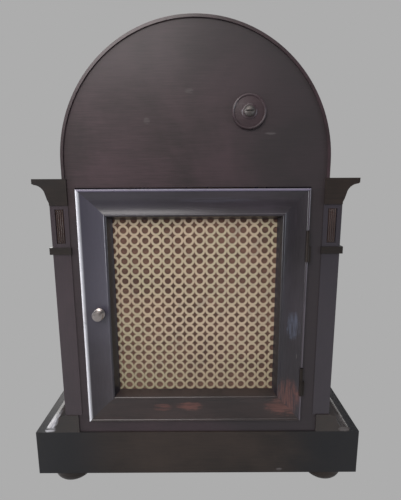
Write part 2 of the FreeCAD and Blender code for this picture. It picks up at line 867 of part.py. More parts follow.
def back_fret():
    """The pierced brass plate: one face with an opening at each ring of the lattice."""
    left, right, low, high = fret_box()
    y0 = fret_plane - fret_thickness
    corners = [Vector(left, y0, low), Vector(right, y0, low), Vector(right, y0, high), Vector(left, y0, high)]
    plate = Part.Face(Part.makePolygon(corners + [corners[0]]))
    holes = []
    reach = fret_hole / 2.0
    for x, z in fret_centres():
        points = [Vector(x - reach, y0, z), Vector(x, y0, z - reach), Vector(x + reach, y0, z),
                  Vector(x, y0, z + reach)]
        holes.append(Part.Wire(Part.makePolygon(points + [points[0]])))
    pierced = Part.Face([plate.OuterWire] + holes)
    return pierced.extrude(Vector(0, fret_thickness, 0))


def back_cloth():
    """The cloth stretched behind the fret, inside the rebate."""
    left, right, low, high = fret_box()
    y1 = fret_plane - fret_thickness
    return box(left, right, y1 - cloth_thickness, y1, low, high)


def back_knob():
    """A turned knob on a spindle that passes through the stile; it sits in the stile's hollow."""
    r = knob_diameter / 2.0
    s = spindle_diameter / 2.0
    y0 = back_door_outer - shoulder_drop - hollow_depth + knob_seat
    reach = back_door_outer + knob_reach - y0
    inner = back_door_inner - gap - tongue_thickness
    turned = [(r * share, y0 + reach * place) for share, place in knob_sections]
    points = [(0, inner), (s, inner), (s, y0), (r, y0)] + turned + [(0, y0 + reach)]
    return turned_y(points, latch_x, latch_height)


def latch_tongue():
    """The tongue on the spindle's end, hanging down when unlatched."""
    y1 = back_door_inner - gap
    y0 = y1 - tongue_thickness
    w = tongue_width / 2.0
    start = Vector(latch_x - w, y0, latch_height)
    wire = outline(start, (Vector(latch_x, y0, latch_height + w), Vector(latch_x + w, y0, latch_height)),
                   Vector(latch_x + w * tongue_taper, y0, latch_height - tongue_length),
                   Vector(latch_x - w * tongue_taper, y0, latch_height - tongue_length))
    tongue = solid_from(wire, Vector(0, tongue_thickness, 0))
    return tongue.cut(rod_y(spindle_diameter / 2.0, latch_x, latch_height, y0 - past, y1 + past))


# ---------------------------------------------------------------- front door
def front_door_frame():
    """The arched frame with a deep sill, rebated for the glass."""
    frame = arched(front_door_half, front_door_bottom, front_door_outer, front_door_inner)
    sight = arched(front_opening_half, front_opening_bottom, front_door_outer - past, glass_outer)
    rebate = glass_shape(glass_outer, front_door_inner + past)
    frame = frame.cut([sight, rebate])
    for z in back_hinge_heights:
        z0 = z - hinge_length / 2.0
        z1 = z + hinge_length / 2.0
        notch = box(front_door_half - hinge_leaf, front_door_half + past, front_door_outer + front_leaf_inset,
                    front_door_inner + past, z + gap / 2.0, z1)
        relief = rod_z(knuckle_radius + gap, front_hinge_x, front_hinge_y, z0 - gap, z1 + gap)
        frame = frame.cut([notch, relief])
    hole = rod_y(front_knob_shank / 2.0, front_knob_x, latch_height, front_door_outer - past, front_door_inner + past)
    return frame.cut(hole)


def glass_shape(y0, y1):
    """The glass's arched outline, as deep as asked."""
    return arched(front_opening_half + glass_rebate, front_opening_bottom - glass_rebate, y0, y1)


def front_glass():
    return glass_shape(glass_outer, glass_inner)


def sight_ring():
    """The brass slip that holds the glass in its rebate from inside."""
    edge = sight_ring_width - glass_rebate
    outer = glass_shape(glass_inner, front_door_inner - sight_ring_recess)
    inner = arched(front_opening_half - edge, front_opening_bottom + edge, glass_inner - past, front_door_inner)
    return outer.cut(inner)


def front_knob():
    """A small turned pull on the door's left stile."""
    y0 = front_door_outer
    r = front_knob_diameter / 2.0
    shank = front_knob_shank / 2.0
    depth = front_door_inner - front_door_outer - shank
    turned = [(r * share, y0 - front_knob_reach * place) for share, place in front_knob_sections]
    points = [(0, y0 + depth), (shank, y0 + depth), (shank, y0)] + turned + [(0, y0 - front_knob_reach)]
    return turned_y(points, front_knob_x, latch_height)


# ---------------------------------------------------------------- dial
def winding_holes(y0, y1):
    radius = winding_hole_diameter / 2.0
    return [rod_y(radius, x, z, y0, y1) for x, z in (going_arbor, strike_arbor)]


def dial_plate():
    """The arched brass plate behind the front board."""
    plate = arched(dial_half, dial_bottom, dial_front, dial_back)
    pipe_hole = rod_y(pipe_hole_diameter / 2.0, *centre_arbor, dial_front - past, dial_back + past)
    return plate.cut([pipe_hole] + winding_holes(dial_front - past, dial_back + past))


def chapter_ring():
    y0 = dial_front - chapter_thickness
    outer = rod_y(chapter_outer_radius, *centre_arbor, y0, dial_front)
    return outer.cut(rod_y(chapter_inner_radius, *centre_arbor, y0 - past, dial_front + past))


def arch_ring():
    """The silvered disc in the arch, with its small boss."""
    y1 = dial_front
    y0 = y1 - chapter_thickness
    disc = rod_y(arch_ring_diameter / 2.0, 0, arch_ring_height, y0, y1)
    boss = rod_y(arch_boss_diameter / 2.0, 0, arch_ring_height, y0 - arch_boss_height, y0)
    return fused(disc, boss)


def spandrels():
    """Four plain leaf-shaped corner pieces round the chapter ring."""
    y1 = dial_front
    ring = rod_y(chapter_outer_radius + spandrel_ring_gap, *centre_arbor, y1 - 2 * chapter_thickness, y1 + past)
    corner = front_opening_half - spandrel_margin
    bend = spandrel_size * spandrel_curve
    pieces = []
    for sx in (-1, 1):
        for sz in (-1, 1):
            x = sx * corner
            z = hand_centre_height + sz * corner
            inner = Vector(x - sx * bend, y1, z - sz * bend)
            wire = outline(Vector(x, y1, z), Vector(x - sx * spandrel_size, y1, z),
                           (inner, Vector(x, y1, z - sz * spandrel_size)))
            pieces.append(solid_from(wire, Vector(0, -chapter_thickness, 0)).cut(ring))
    return pieces


def dial_pillars():
    """Four feet that hold the dial plate on the movement's front plate."""
    dx = plate_width / 2.0 - dial_pillar_inset
    pieces = []
    for x in (-dx, dx):
        for z in (plate_bottom + dial_pillar_inset, plate_top - dial_pillar_inset):
            pieces.append(rod_y(dial_pillar_diameter / 2.0, x, z, dial_back, front_plate_front))
    return pieces


# ---------------------------------------------------------------- wheels and hands
def gear_disc(centre, teeth, module, y0, phase):
    """A wheel blank with straight-sided teeth; phase turns it by that many teeth."""
    pitch_angle = 2 * math.pi / teeth
    radius = module * teeth / 2.0
    outer = radius + tooth_rise * module
    root = radius - tooth_depth * module
    points = []
    for i in range(teeth):
        middle = (i + phase) * pitch_angle
        for angle, r in ((-0.5, root), (-tooth_tip / 2.0, outer), (tooth_tip / 2.0, outer)):
            a = middle + angle * pitch_angle
            points.append((centre[0] + r * math.cos(a), centre[1] + r * math.sin(a)))
    return prism_y(points, y0, y0 + wheel_thickness)


def pinion(centre, leaves, module, y0, length, phase):
    """A pinion with narrow leaves standing on a round core."""
    pitch_angle = 2 * math.pi / leaves
    radius = module * leaves / 2.0
    outer = radius + leaf_rise * module
    core = radius - leaf_depth * module
    flank = ((-leaf_root, core), (-leaf_tip, outer), (leaf_tip, outer), (leaf_root, core))
    points = []
    for i in range(leaves):
        middle = (i + phase) * pitch_angle
        for angle, r in flank:
            a = middle + angle * pitch_angle
            points.append((centre[0] + r * math.cos(a), centre[1] + r * math.sin(a)))
    return prism_y(points, y0, y0 + length)


def crossings(centre, rim_radius, hub_radius, y0, y1, count=4):
    """The openings between the arms of a crossed-out wheel."""
    pieces = []
    hub = rod_y(hub_radius, *centre, y0 - 2 * past, y1 + 2 * past)
    ring = rod_y(rim_radius, *centre, y0 - past, y1 + past).cut(hub)
    for i in range(count):
        a = math.pi * i / (count / 2.0)
        bar = box(0, rim_radius + past, y0 - 2 * past, y1 + 2 * past, -arm_width / 2.0, arm_width / 2.0)
        bar.rotate(Vector(0, 0, 0), Vector(0, 1, 0), -math.degrees(a))
        bar.translate(Vector(centre[0], 0, centre[1]))
        pieces.append(bar)
    return ring.cut(pieces)


def arbor(centre, radius=arbor_diameter / 2.0, pivot=pivot_radius):
    """A steel arbor between the plates with a pivot in each, and a gap at its shoulders."""
    start = front_plate_back + gap
    end = back_plate_front - gap
    body = rod_y(radius, *centre, start, end)
    front_pivot = rod_y(pivot, *centre, front_plate_front, start)
    back_pivot = rod_y(pivot, *centre, end, back_plate_back)
    return fused(body, front_pivot, back_pivot)


def root_radius(teeth, module):
    """Radius at the bottom of a wheel's teeth."""
    return module * teeth / 2.0 - tooth_depth * module


def facing(centre, other):
    """Direction from one arbor to another, in radians."""
    return math.atan2(other[1] - centre[1], other[0] - centre[0])


def tooth_phase(teeth, direction):
    """Phase that points a tooth in a direction."""
    return direction / (2 * math.pi / teeth)


def gap_phase(teeth, direction):
    """Phase that points a gap between teeth in a direction."""
    return tooth_phase(teeth, direction) + 0.5


def barrel_unit(centre, driven, wheel_y):
    """A spring barrel with its great wheel, arbor and winding square."""
    phase = gap_phase(great_teeth, facing(centre, driven))
    wheel = gear_disc(centre, great_teeth, great_module, wheel_y, phase)
    end = barrel_y + barrel_length
    drum = rod_y(barrel_diameter / 2.0, *centre, barrel_y, end)
    cap_edge = rod_y(barrel_diameter / 2.0 + barrel_cap_lip, *centre, end - barrel_cap_width, end)
    shaft = arbor(centre, barrel_arbor_diameter / 2.0, barrel_pivot_radius)
    half = winding_square / 2.0
    square = box(-half, half, dial_front + winding_recess, front_plate_front, -half, half)
    square.translate(Vector(centre[0], 0, centre[1]))
    return fused(wheel, drum, cap_edge, shaft, square)


def centre_unit():
    """Centre arbor with its pinion, wheel and the cannon pinion and pipe that carry the minute hand."""
    pinion_phase = tooth_phase(centre_pinion_teeth, facing(centre_arbor, going_arbor))
    leaves = pinion(centre_arbor, centre_pinion_teeth, great_module, great_wheel_y - pinion_overhang,
                    pinion_length, pinion_phase)
    wheel_phase = gap_phase(centre_teeth, facing(centre_arbor, third_arbor))
    wheel = gear_disc(centre_arbor, centre_teeth, centre_module, centre_wheel_y, wheel_phase)
    rim = root_radius(centre_teeth, centre_module) - centre_rim
    end = centre_wheel_y + wheel_thickness
    wheel = wheel.cut(crossings(centre_arbor, rim, centre_hub / 2.0, centre_wheel_y, end))
    cannon_phase = tooth_phase(cannon_teeth, facing(centre_arbor, minute_arbor))
    cannon = pinion(centre_arbor, cannon_teeth, cannon_module, motion_y, cannon_length, cannon_phase)
    pipe_start = minute_hand_back - hand_thickness - collet_height / 2.0
    pipe = rod_y(pipe_diameter / 2.0, *centre_arbor, pipe_start, motion_y + cannon_length)
    front_pivot = rod_y(pivot_radius, *centre_arbor, motion_y, front_plate_front)
    return fused(arbor(centre_arbor), leaves, wheel, cannon, pipe, front_pivot)


def third_unit():
    """Third arbor with pinion and crossed-out wheel."""
    pinion_phase = tooth_phase(third_pinion_teeth, facing(third_arbor, centre_arbor))
    leaves = pinion(third_arbor, third_pinion_teeth, centre_module, centre_wheel_y - pinion_overhang,
                    pinion_length, pinion_phase)
    wheel_phase = gap_phase(third_teeth, facing(third_arbor, escape_arbor))
    wheel = gear_disc(third_arbor, third_teeth, third_module, third_wheel_y, wheel_phase)
    rim = root_radius(third_teeth, third_module) - third_rim
    end = third_wheel_y + wheel_thickness
    wheel = wheel.cut(crossings(third_arbor, rim, third_hub / 2.0, third_wheel_y, end))
    return fused(arbor(third_arbor), leaves, wheel)


def escape_unit():
    """Escape arbor with pinion and a wheel of pointed, leaning teeth."""
    pinion_phase = tooth_phase(escape_pinion_teeth, facing(escape_arbor, third_arbor))
    leaves = pinion(escape_arbor, escape_pinion_teeth, third_module, third_wheel_y - pinion_overhang,
                    pinion_length, pinion_phase)
    pitch_angle = 2 * math.pi / escape_teeth
    outer = escape_diameter / 2.0
    root = outer - escape_tooth_height
    points = []
    for i in range(escape_teeth):
        for angle, r in ((0.0, root), (escape_tooth_lean, outer)):
            a = (i + angle) * pitch_angle
            points.append((escape_arbor[0] + r * math.cos(a), escape_arbor[1] + r * math.sin(a)))
    y0, y1 = escape_wheel_y, escape_wheel_y + escape_thickness
    wheel = prism_y(points, y0, y1).cut(crossings(escape_arbor, root - escape_rim, escape_hub / 2.0, y0, y1))
    return fused(arbor(escape_arbor), leaves, wheel)


def minute_unit():
    """Minute wheel and pinion on a stud in front of the front plate."""
    wheel_phase = gap_phase(minute_teeth, facing(minute_arbor, centre_arbor))
    wheel = gear_disc(minute_arbor, minute_teeth, cannon_module, motion_y, wheel_phase)
    pinion_phase = tooth_phase(minute_pinion_teeth, facing(minute_arbor, centre_arbor))
    leaves = pinion(minute_arbor, minute_pinion_teeth, hour_module, motion_y - minute_pinion_length,
                    minute_pinion_length + gap, pinion_phase)
    bore = rod_y(stud_diameter / 2.0 + running_clearance, *minute_arbor, motion_y - minute_pinion_length - past,
                 front_plate_front)
    collet = rod_y(minute_collet_diameter / 2.0, *minute_arbor, motion_y + wheel_thickness, front_plate_front - gap)
    return fused(wheel, leaves, collet).cut(bore)


def minute_stud():
    """The stud on the front plate that carries the minute wheel."""
    return rod_y(stud_diameter / 2.0, *minute_arbor, front_plate_front - stud_length, front_plate_front)


def hour_unit():
    """Hour wheel on its pipe round the cannon pipe; the pipe carries the hour hand."""
    y0 = front_plate_front - hour_wheel_front
    wheel_phase = gap_phase(hour_teeth, facing(centre_arbor, minute_arbor))
    wheel = gear_disc(centre_arbor, hour_teeth, hour_module, y0, wheel_phase)
    end = y0 + wheel_thickness + hour_pipe_overhang
    pipe = rod_y(hour_pipe_diameter / 2.0, *centre_arbor, hand_back - hand_thickness / 2.0, end)
    bore = rod_y(pipe_diameter / 2.0 + running_clearance, *centre_arbor, hand_back - hand_thickness, end + past)
    return fused(wheel, pipe).cut(bore)


def hand(length, width, y_back, boss, bore, loop):
    """A pointed hand with a pierced loop, pointing up from the centre; boss, bore and loop are diameters."""
    x, z = centre_arbor
    y0 = y_back - hand_thickness
    root = width / 2.0
    waist = width * hand_waist
    middle = z + length / 2.0
    points = ((x - root, z), (x - waist, middle), (x, z + length), (x + waist, middle), (x + root, z))
    blade = prism_y(points, y0, y_back)
    loop_z = z + length * hand_loop_place
    ring = rod_y(loop / 2.0, x, loop_z, y0, y_back)
    eye = rod_y(loop / 4.0, x, loop_z, y0 - past, y_back + past)
    centre = rod_y(boss / 2.0, x, z, y0, y_back)
    return fused(blade, centre, ring).cut([eye, rod_y(bore / 2.0, x, z, y0 - past, y_back + past)])


def hour_hand():
    return hand(hour_hand_length, hour_hand_width, hand_back, hour_hand_boss, hour_pipe_diameter, hour_hand_loop)


def minute_hand():
    """The minute hand with the collet that holds it on the cannon pipe."""
    blade = hand(minute_hand_length, minute_hand_width, minute_hand_back, minute_hand_boss, pipe_diameter,
                 minute_hand_loop)
    y1 = minute_hand_back - hand_thickness
    collet = rod_y(collet_diameter / 2.0, *centre_arbor, y1 - collet_height, y1)
    bore = rod_y(pipe_diameter / 2.0, *centre_arbor, y1 - collet_height - past, y1 + past)
    return fused(blade, collet.cut(bore))


# ---------------------------------------------------------------- movement frame
def pivot_holes(y0, y1):
    """Pivot holes for every arbor; the barrels' are larger."""
    small = (centre_arbor, third_arbor, escape_arbor, pin_arbor, fly_arbor, hammer_arbor, pallet_arbor)
    holes = [rod_y(pivot_radius + running_clearance, *centre, y0, y1) for centre in small]
    for centre in (going_arbor, strike_arbor):
        holes.append(rod_y(barrel_pivot_radius + running_clearance, *centre, y0, y1))
    return holes


def plate(y0, y1):
    """A movement plate with its pivot holes."""
    half = plate_width / 2.0
    blank = box(-half, half, y0, y1, plate_bottom, plate_top)
    return blank.cut(pivot_holes(y0 - past, y1 + past))


def front_plate():
    return fused(plate(front_plate_front, front_plate_back), minute_stud())


def back_plate():
    return plate(back_plate_front, back_plate_back)


def plate_pillars():
    """Four pillars between the plates with a waist and turned ends."""
    r = plate_pillar_diameter / 2.0
    waist = r * plate_pillar_waist
    end = plate_pillar_end
    a, b = front_plate_back, back_plate_front
    points = ((0, a), (r, a), (r, a + end), (waist, a + 2 * end), (waist, b - 2 * end), (r, b - end), (r, b), (0, b))
    dx = plate_width / 2.0 - plate_pillar_inset
    heights = (plate_bottom + plate_pillar_inset, plate_top - plate_pillar_inset)
    return [turned_y(points, x, z) for x in (-dx, dx) for z in heights]


def suspension_cock():
    """The cock on the back plate, and the upper end of the suspension spring held in its slot."""
    top = pallet_height + cock_rise + cock_thickness
    low = top - cock_thickness
    y0 = back_plate_back
    y1 = y0 + cock_foot_thickness
    width = cock_width / 2.0
    foot = box(-cock_foot_width / 2.0, cock_foot_width / 2.0, y0, y1, top, plate_top)
    upright = box(-width, width, y0, y1, low, plate_top)
    arm = box(-width, width, y0, pendulum_y + cock_reach, low, top)
    half = suspension_spring_width / 2.0
    leaf_half = suspension_spring_thickness / 2.0
    slot = box(-half, half, pendulum_y - leaf_half, pendulum_y + leaf_half, low - past, top + past)
    cock = fused(foot, upright, arm).cut(slot)
    leaf = box(-half, half, pendulum_y - leaf_half, pendulum_y + leaf_half, pallet_height + gap / 2.0, top)
    chop = box(-chop_width / 2.0, chop_width / 2.0, pendulum_y - chop_thickness / 2.0,
               pendulum_y + chop_thickness / 2.0, top, top + chop_height)
    return cock, fused(leaf, chop)


# ---------------------------------------------------------------- pendulum and pallets
def pallet_unit():
    """Pallet arbor with the anchor over the escape wheel and the crutch behind the back plate."""
    x, z = pallet_arbor
    ez = escape_arbor[1]
    y0 = escape_wheel_y
    spread = anchor_spread
    tip = spread + anchor_tip
    low = ez + math.sqrt((escape_diameter / 2.0 + pallet_clearance) ** 2 - spread ** 2)
    half = ((anchor_waist, z - anchor_depth), (spread, low + anchor_face), (tip, low),
            (spread + anchor_shoulder, low + anchor_depth), (anchor_crown, z + anchor_crown))
    points = [(x + dx, place) for dx, place in half] + [(x - dx, place) for dx, place in reversed(half)]
    anchor = prism_y(points, y0, y0 + anchor_thickness)
    crutch_y = pendulum_y - crutch_gap
    tail = rod_y(pivot_radius, x, z, back_plate_back, crutch_y)
    crutch = box(x - crutch_width / 2.0, x + crutch_width / 2.0, crutch_y - crutch_thickness, crutch_y,
                 z - crutch_length - crutch_width, z + crutch_width)
    pin = rod_y(crutch_pin_diameter / 2.0, x, z - crutch_length, crutch_y - crutch_thickness,
                pendulum_y + crutch_pin_reach)
    return fused(arbor(pallet_arbor), anchor, tail, crutch, pin)


def bob_height():
    """Height of the bob's centre."""
    return pallet_height - pendulum_length


def pendulum_rod():
    """Lower end of the suspension spring, its brass block, the rod and the fork for the crutch pin."""
    y = pendulum_y
    half = suspension_spring_width / 2.0
    leaf_half = suspension_spring_thickness / 2.0
    block_half = spring_block_thickness / 2.0
    block_top = pallet_height - spring_length + past
    block_low = block_top - spring_block_height
    leaf = box(-half, half, y - leaf_half, y + leaf_half, pallet_height - spring_length, pallet_height - gap / 2.0)
    block = box(-half, half, y - block_half, y + block_half, block_low, block_top)
    rod_end = bob_height() - bob_diameter / 2.0 - rod_below_bob
    rod = rod_z(pendulum_rod_diameter / 2.0, 0, y, rod_end, block_low + past)
    pin_z = pallet_height - crutch_length
    fork = box(-fork_width / 2.0, fork_width / 2.0, y - fork_thickness / 2.0, y + fork_thickness / 2.0,
               pin_z - fork_height / 2.0, pin_z + fork_height / 2.0)
    slot = box(-fork_slot_width / 2.0, fork_slot_width / 2.0, y - fork_thickness, y + fork_thickness,
               pin_z - fork_slot_height / 2.0, pin_z + fork_slot_height / 2.0)
    return fused(leaf, block, rod, fork).cut(slot)


def pendulum_bob():
    """A lens-shaped brass bob with a bore for the rod."""
    r = bob_diameter / 2.0
    t = bob_thickness / 2.0
    z = bob_height()
    y = pendulum_y
    shoulder = r * bob_shoulder
    drop = t * bob_shoulder_drop
    edge = bob_flat / 2.0
    wire = outline(Vector(0, y - t, z), (Vector(shoulder, y - drop, z), Vector(r, y - edge, z)),
                   Vector(r, y + edge, z), (Vector(shoulder, y + drop, z), Vector(0, y + t, z)))
    lens = Part.Face(wire).revolve(Vector(0, 0, z), Vector(0, 1, 0), 360)
    return lens.cut(rod_z(pendulum_rod_diameter / 2.0, 0, y, z - r - past, z + r + past))


def rating_nut():
    """The nut under the bob."""
    z1 = bob_height() - bob_diameter / 2.0
    z0 = z1 - rating_nut_height
    nut = rod_z(rating_nut_diameter / 2.0, 0, pendulum_y, z0, z1)
    return nut.cut(rod_z(pendulum_rod_diameter / 2.0, 0, pendulum_y, z0 - past, z1 + past))


# ---------------------------------------------------------------- strike train, hammer and gong
def pin_unit():
    """Pin wheel of the strike train, with lifting pins, pinion and arbor."""
    pinion_phase = tooth_phase(pin_pinion_teeth, facing(pin_arbor, strike_arbor))
    leaves = pinion(pin_arbor, pin_pinion_teeth, great_module, strike_wheel_y - pinion_overhang,
                    pinion_length, pinion_phase)
    wheel_phase = gap_phase(pin_wheel_teeth, facing(pin_arbor, fly_arbor))
    wheel = gear_disc(pin_arbor, pin_wheel_teeth, pin_wheel_module, pin_wheel_y, wheel_phase)
    back = pin_wheel_y + wheel_thickness
    pins = []
    for i in range(lifting_pins):
        place = around(pin_arbor, lifting_pin_circle / 2.0, 360.0 * i / lifting_pins)
        pins.append(rod_y(lifting_pin_diameter / 2.0, *place, pin_wheel_y, back + lifting_pin_length))
    return fused(arbor(pin_arbor), leaves, wheel, *pins)


def fly_unit():
    """Fly of the strike train: a thin two-bladed vane on its arbor."""
    pinion_phase = tooth_phase(fly_pinion_teeth, facing(fly_arbor, pin_arbor))
    leaves = pinion(fly_arbor, fly_pinion_teeth, pin_wheel_module, pin_wheel_y - pinion_overhang,
                    pinion_length, pinion_phase)
    x, z = fly_arbor
    y0 = great_wheel_y
    half = fly_thickness / 2.0
    vane = box(x - fly_span / 2.0, x + fly_span / 2.0, y0, y0 + fly_length, z - half, z + half)
    return fused(arbor(fly_arbor), leaves, vane)


def hammer_unit():
    """Hammer arbor, stem and head; the head's face rests just off the gong's outer turn."""
    x, z = hammer_arbor
    y = gong_plane
    turn = math.radians(hammer_strike_angle)
    outward = Vector(math.cos(turn), 0, math.sin(turn))
    face = Vector(gong_x, y, gong_height) + outward * (gong_outer_radius() + hammer_rest_gap)
    middle = face + outward * (hammer_head_length / 2.0)
    start = Vector(x, y, z)
    half = hammer_boss_length / 2.0
    tail = rod_y(pivot_radius, x, z, back_plate_back, y)
    boss = rod_y(hammer_boss_diameter / 2.0, x, z, y - half, y + half)
    stem = Part.makeCylinder(hammer_stem_diameter / 2.0, (middle - start).Length, start, middle - start)
    head = Part.makeCylinder(hammer_head_diameter / 2.0, hammer_head_length, face, outward)
    return fused(arbor(hammer_arbor), tail, boss, stem, head)


def gong_outer_radius():
    """Outer radius of the gong's rod at its last turn."""
    return gong_inner_radius + gong_turn_pitch * gong_turns + gong_rod_diameter / 2.0


def least_gap(edges):
    """Least clear distance between neighbouring turns, measured on points of the path."""
    points = [edge.discretize(25) for edge in edges]
    nearest = min(p.distanceToPoint(q) for i in range(len(points) - 2) for p in points[i] for q in points[i + 2])
    return nearest - gong_rod_diameter


def gong_coil():
    """One unbroken rod coiled outwards in half turns, from the post's arm to its free end."""
    y = gong_plane
    edges = []
    radius = gong_inner_radius
    step = gong_turn_pitch / 2.0
    x = gong_x
    side = 1
    start = Vector(x + radius, y, gong_height)
    for i in range(2 * gong_turns):
        end = Vector(x - side * radius, y, gong_height)
        top = Vector(x, y, gong_height + side * radius)
        edges.append(Part.Arc(start, top, end).toShape())
        start = end
        side = -side
        x -= side * step
        radius += step
    path = Part.Wire(edges)
    first = edges[0].valueAt(edges[0].FirstParameter)
    circle = Part.Circle(first, Vector(0, 0, 1), gong_rod_diameter / 2.0)
    rod = path.makePipeShell([Part.Wire([circle.toShape()])], True, False)
    print("gong: least gap between turns %.2f mm" % least_gap(edges))
    return rod


def gong_post():
    """The cast post on the back board, with the arm that holds the coil's inner end."""
    y0 = gong_plane
    y1 = back_board_inner
    end = gong_x + gong_inner_radius + gong_rod_diameter / 2.0
    half = gong_arm_width / 2.0
    drop = rod_y(gong_post_diameter / 2.0, gong_x, gong_height, y0 - gong_post_reach, y1)
    flange = rod_y(gong_flange_diameter / 2.0, gong_x, gong_height, y1 - gong_flange_thickness, y1)
    arm = box(gong_x, end, y0 - half, y0 + half, gong_height - gong_arm_height, gong_height)
    thread = rod_y(gong_shank_radius, gong_x, gong_height, y1 - gong_thread_depth, y1 + past)
    return fused(drop, flange, arm).cut(thread)


def gong_disc():
    """The dark turned washer outside the back board."""
    r = gong_disc_diameter / 2.0
    y0 = back_board_outer
    y1 = y0 + gong_disc_thickness
    points = ((0, y0), (r, y0), (r, y1 - gong_disc_edge), (r - gong_disc_chamfer, y1), (0, y1))
    disc = turned_y(points, gong_x, gong_height)
    return disc.cut(rod_y(gong_shank_radius, gong_x, gong_height, y0 - past, y1 + past))


def gong_screw():
    """The slotted round-headed screw through the washer and the board into the post."""
    r = gong_screw_diameter / 2.0
    y0 = back_board_outer + gong_disc_thickness
    start = Vector(gong_x, y0, gong_height)
    dome = (Vector(gong_x + r * screw_shoulder, y0 + r * screw_shoulder_rise, gong_height),
            Vector(gong_x, y0 + r * screw_rise, gong_height))
    wire = outline(start, Vector(gong_x + r, y0, gong_height), dome)
    head = Part.Face(wire).revolve(start, Vector(0, 1, 0), 360)
    half = gong_screw_slot / 2.0
    slot = box(gong_x - r - past, gong_x + r + past, y0 + r * screw_slot_floor, y0 + r, gong_height - half,
               gong_height + half)
    shank_end = back_board_inner - gong_thread_depth + past
    shank = rod_y(gong_shank_radius - shank_clearance, gong_x, gong_height, shank_end, y0 + r * screw_slot_floor)
    return fused(head.cut(slot), shank)


# ---------------------------------------------------------------- write every node
def build():
    os.makedirs("parts", exist_ok=True)
    save("bun_feet", *bun_feet())
    save("plinth_rails", *plinth_rails())
    save("base_mouldings", *base_mouldings())
    save("floor_board", floor_board())
    side = side_board()
    save("side_board_right", side)
    save("side_board_left", mirrored_x(side))
    save("arch_shell", arch_shell())
    save("back_board", back_board())
    save("front_board", front_board())
    ends = pilaster_ends()
    for name, (face, back) in zip(("back_pilasters", "front_pilasters"), ends):
        post = pilaster(face, back)
        save(name, post, mirrored_x(post))
    save("pilaster_collars", *collars())
    save("capitals", *capitals())
    board, bearers = seat()
    save("seat_board", board)
    save("seat_bearers", *bearers)
    case_leaves, door_leaves = back_hinges()
    save("back_hinge_case_leaves", *case_leaves)
    save("back_hinge_door_leaves", *door_leaves)
    case_leaves, door_leaves = front_hinges()
    save("front_hinge_case_leaves", *case_leaves)
    save("front_hinge_door_leaves", *door_leaves)
    members = back_door_frame()
    save("back_door_stile_left", members["left"])
    save("back_door_stile_right", members["right"])
    save("back_door_top_rail", members["top"])
    save("back_door_bottom_rail", members["bottom"])
    save("back_fret", back_fret())
    save("back_fret_cloth", back_cloth())
    save("back_knob", back_knob())
    save("back_latch_tongue", latch_tongue())
    save("front_door_frame", front_door_frame())
    save("front_glass", front_glass())
    save("front_sight_ring", sight_ring())
    save("front_knob", front_knob())
    save("dial_plate", dial_plate())
    save("chapter_ring", chapter_ring())
    save("arch_ring", arch_ring())
    save("dial_spandrels", *spandrels())
    save("dial_pillars", *dial_pillars())
    save("hour_hand", hour_hand())
    save("minute_hand", minute_hand())
    save("front_plate", front_plate())
    save("back_plate", back_plate())
    save("plate_pillars", *plate_pillars())
    save("going_barrel", barrel_unit(going_arbor, centre_arbor, great_wheel_y))
    save("strike_barrel", barrel_unit(strike_arbor, pin_arbor, strike_wheel_y))
    save("centre_wheel", centre_unit())
    save("third_wheel", third_unit())
    save("escape_wheel", escape_unit())
    save("minute_wheel", minute_unit())
    save("hour_wheel", hour_unit())
    save("pin_wheel", pin_unit())
    save("fly", fly_unit())
    save("pallets", pallet_unit())
    save("suspension_cock", *suspension_cock())
    save("pendulum_rod", pendulum_rod())
    save("pendulum_bob", pendulum_bob())
    save("rating_nut", rating_nut())
    save("hammer", hammer_unit())
    save("gong_coil", gong_coil())
    save("gong_post", gong_post())
    save("gong_disc", gong_disc())
    save("gong_screw", gong_screw())


build()
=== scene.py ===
import math

import bpy
from mathutils import Matrix, Vector


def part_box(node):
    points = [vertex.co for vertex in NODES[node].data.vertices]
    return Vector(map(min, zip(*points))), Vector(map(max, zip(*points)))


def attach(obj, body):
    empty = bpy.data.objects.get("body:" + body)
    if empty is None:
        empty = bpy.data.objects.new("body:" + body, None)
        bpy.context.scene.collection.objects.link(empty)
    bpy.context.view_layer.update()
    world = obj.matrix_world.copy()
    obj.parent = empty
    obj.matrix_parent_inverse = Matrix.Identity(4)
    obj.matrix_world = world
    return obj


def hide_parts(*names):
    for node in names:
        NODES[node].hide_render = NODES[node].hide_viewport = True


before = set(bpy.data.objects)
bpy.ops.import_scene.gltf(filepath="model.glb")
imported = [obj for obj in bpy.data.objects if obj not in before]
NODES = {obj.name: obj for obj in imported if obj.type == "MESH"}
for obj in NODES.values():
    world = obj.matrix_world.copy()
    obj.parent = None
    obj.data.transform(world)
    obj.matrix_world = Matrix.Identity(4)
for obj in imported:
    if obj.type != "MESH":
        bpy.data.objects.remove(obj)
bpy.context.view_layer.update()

bl_info = {
    "name": "Arched bracket clock",
    "version": (1, 0, 0),
    "blender": (4, 5, 0),
    "location": "View3D > Sidebar > Clock",
    "description": "Finishes and fine pieces for an arch-topped bracket clock seen from its back",
    "category": "Object",
}


# ---------------------------------------------------------------- sizes and colours a user may change
def colour_setting(name, description, default):
    return bpy.props.FloatVectorProperty(name=name, description=description, subtype="COLOR", size=3, default=default)


def length_setting(name, description, default):
    return bpy.props.FloatProperty(name=name, description=description, subtype="DISTANCE", unit="LENGTH",
                                   default=default)


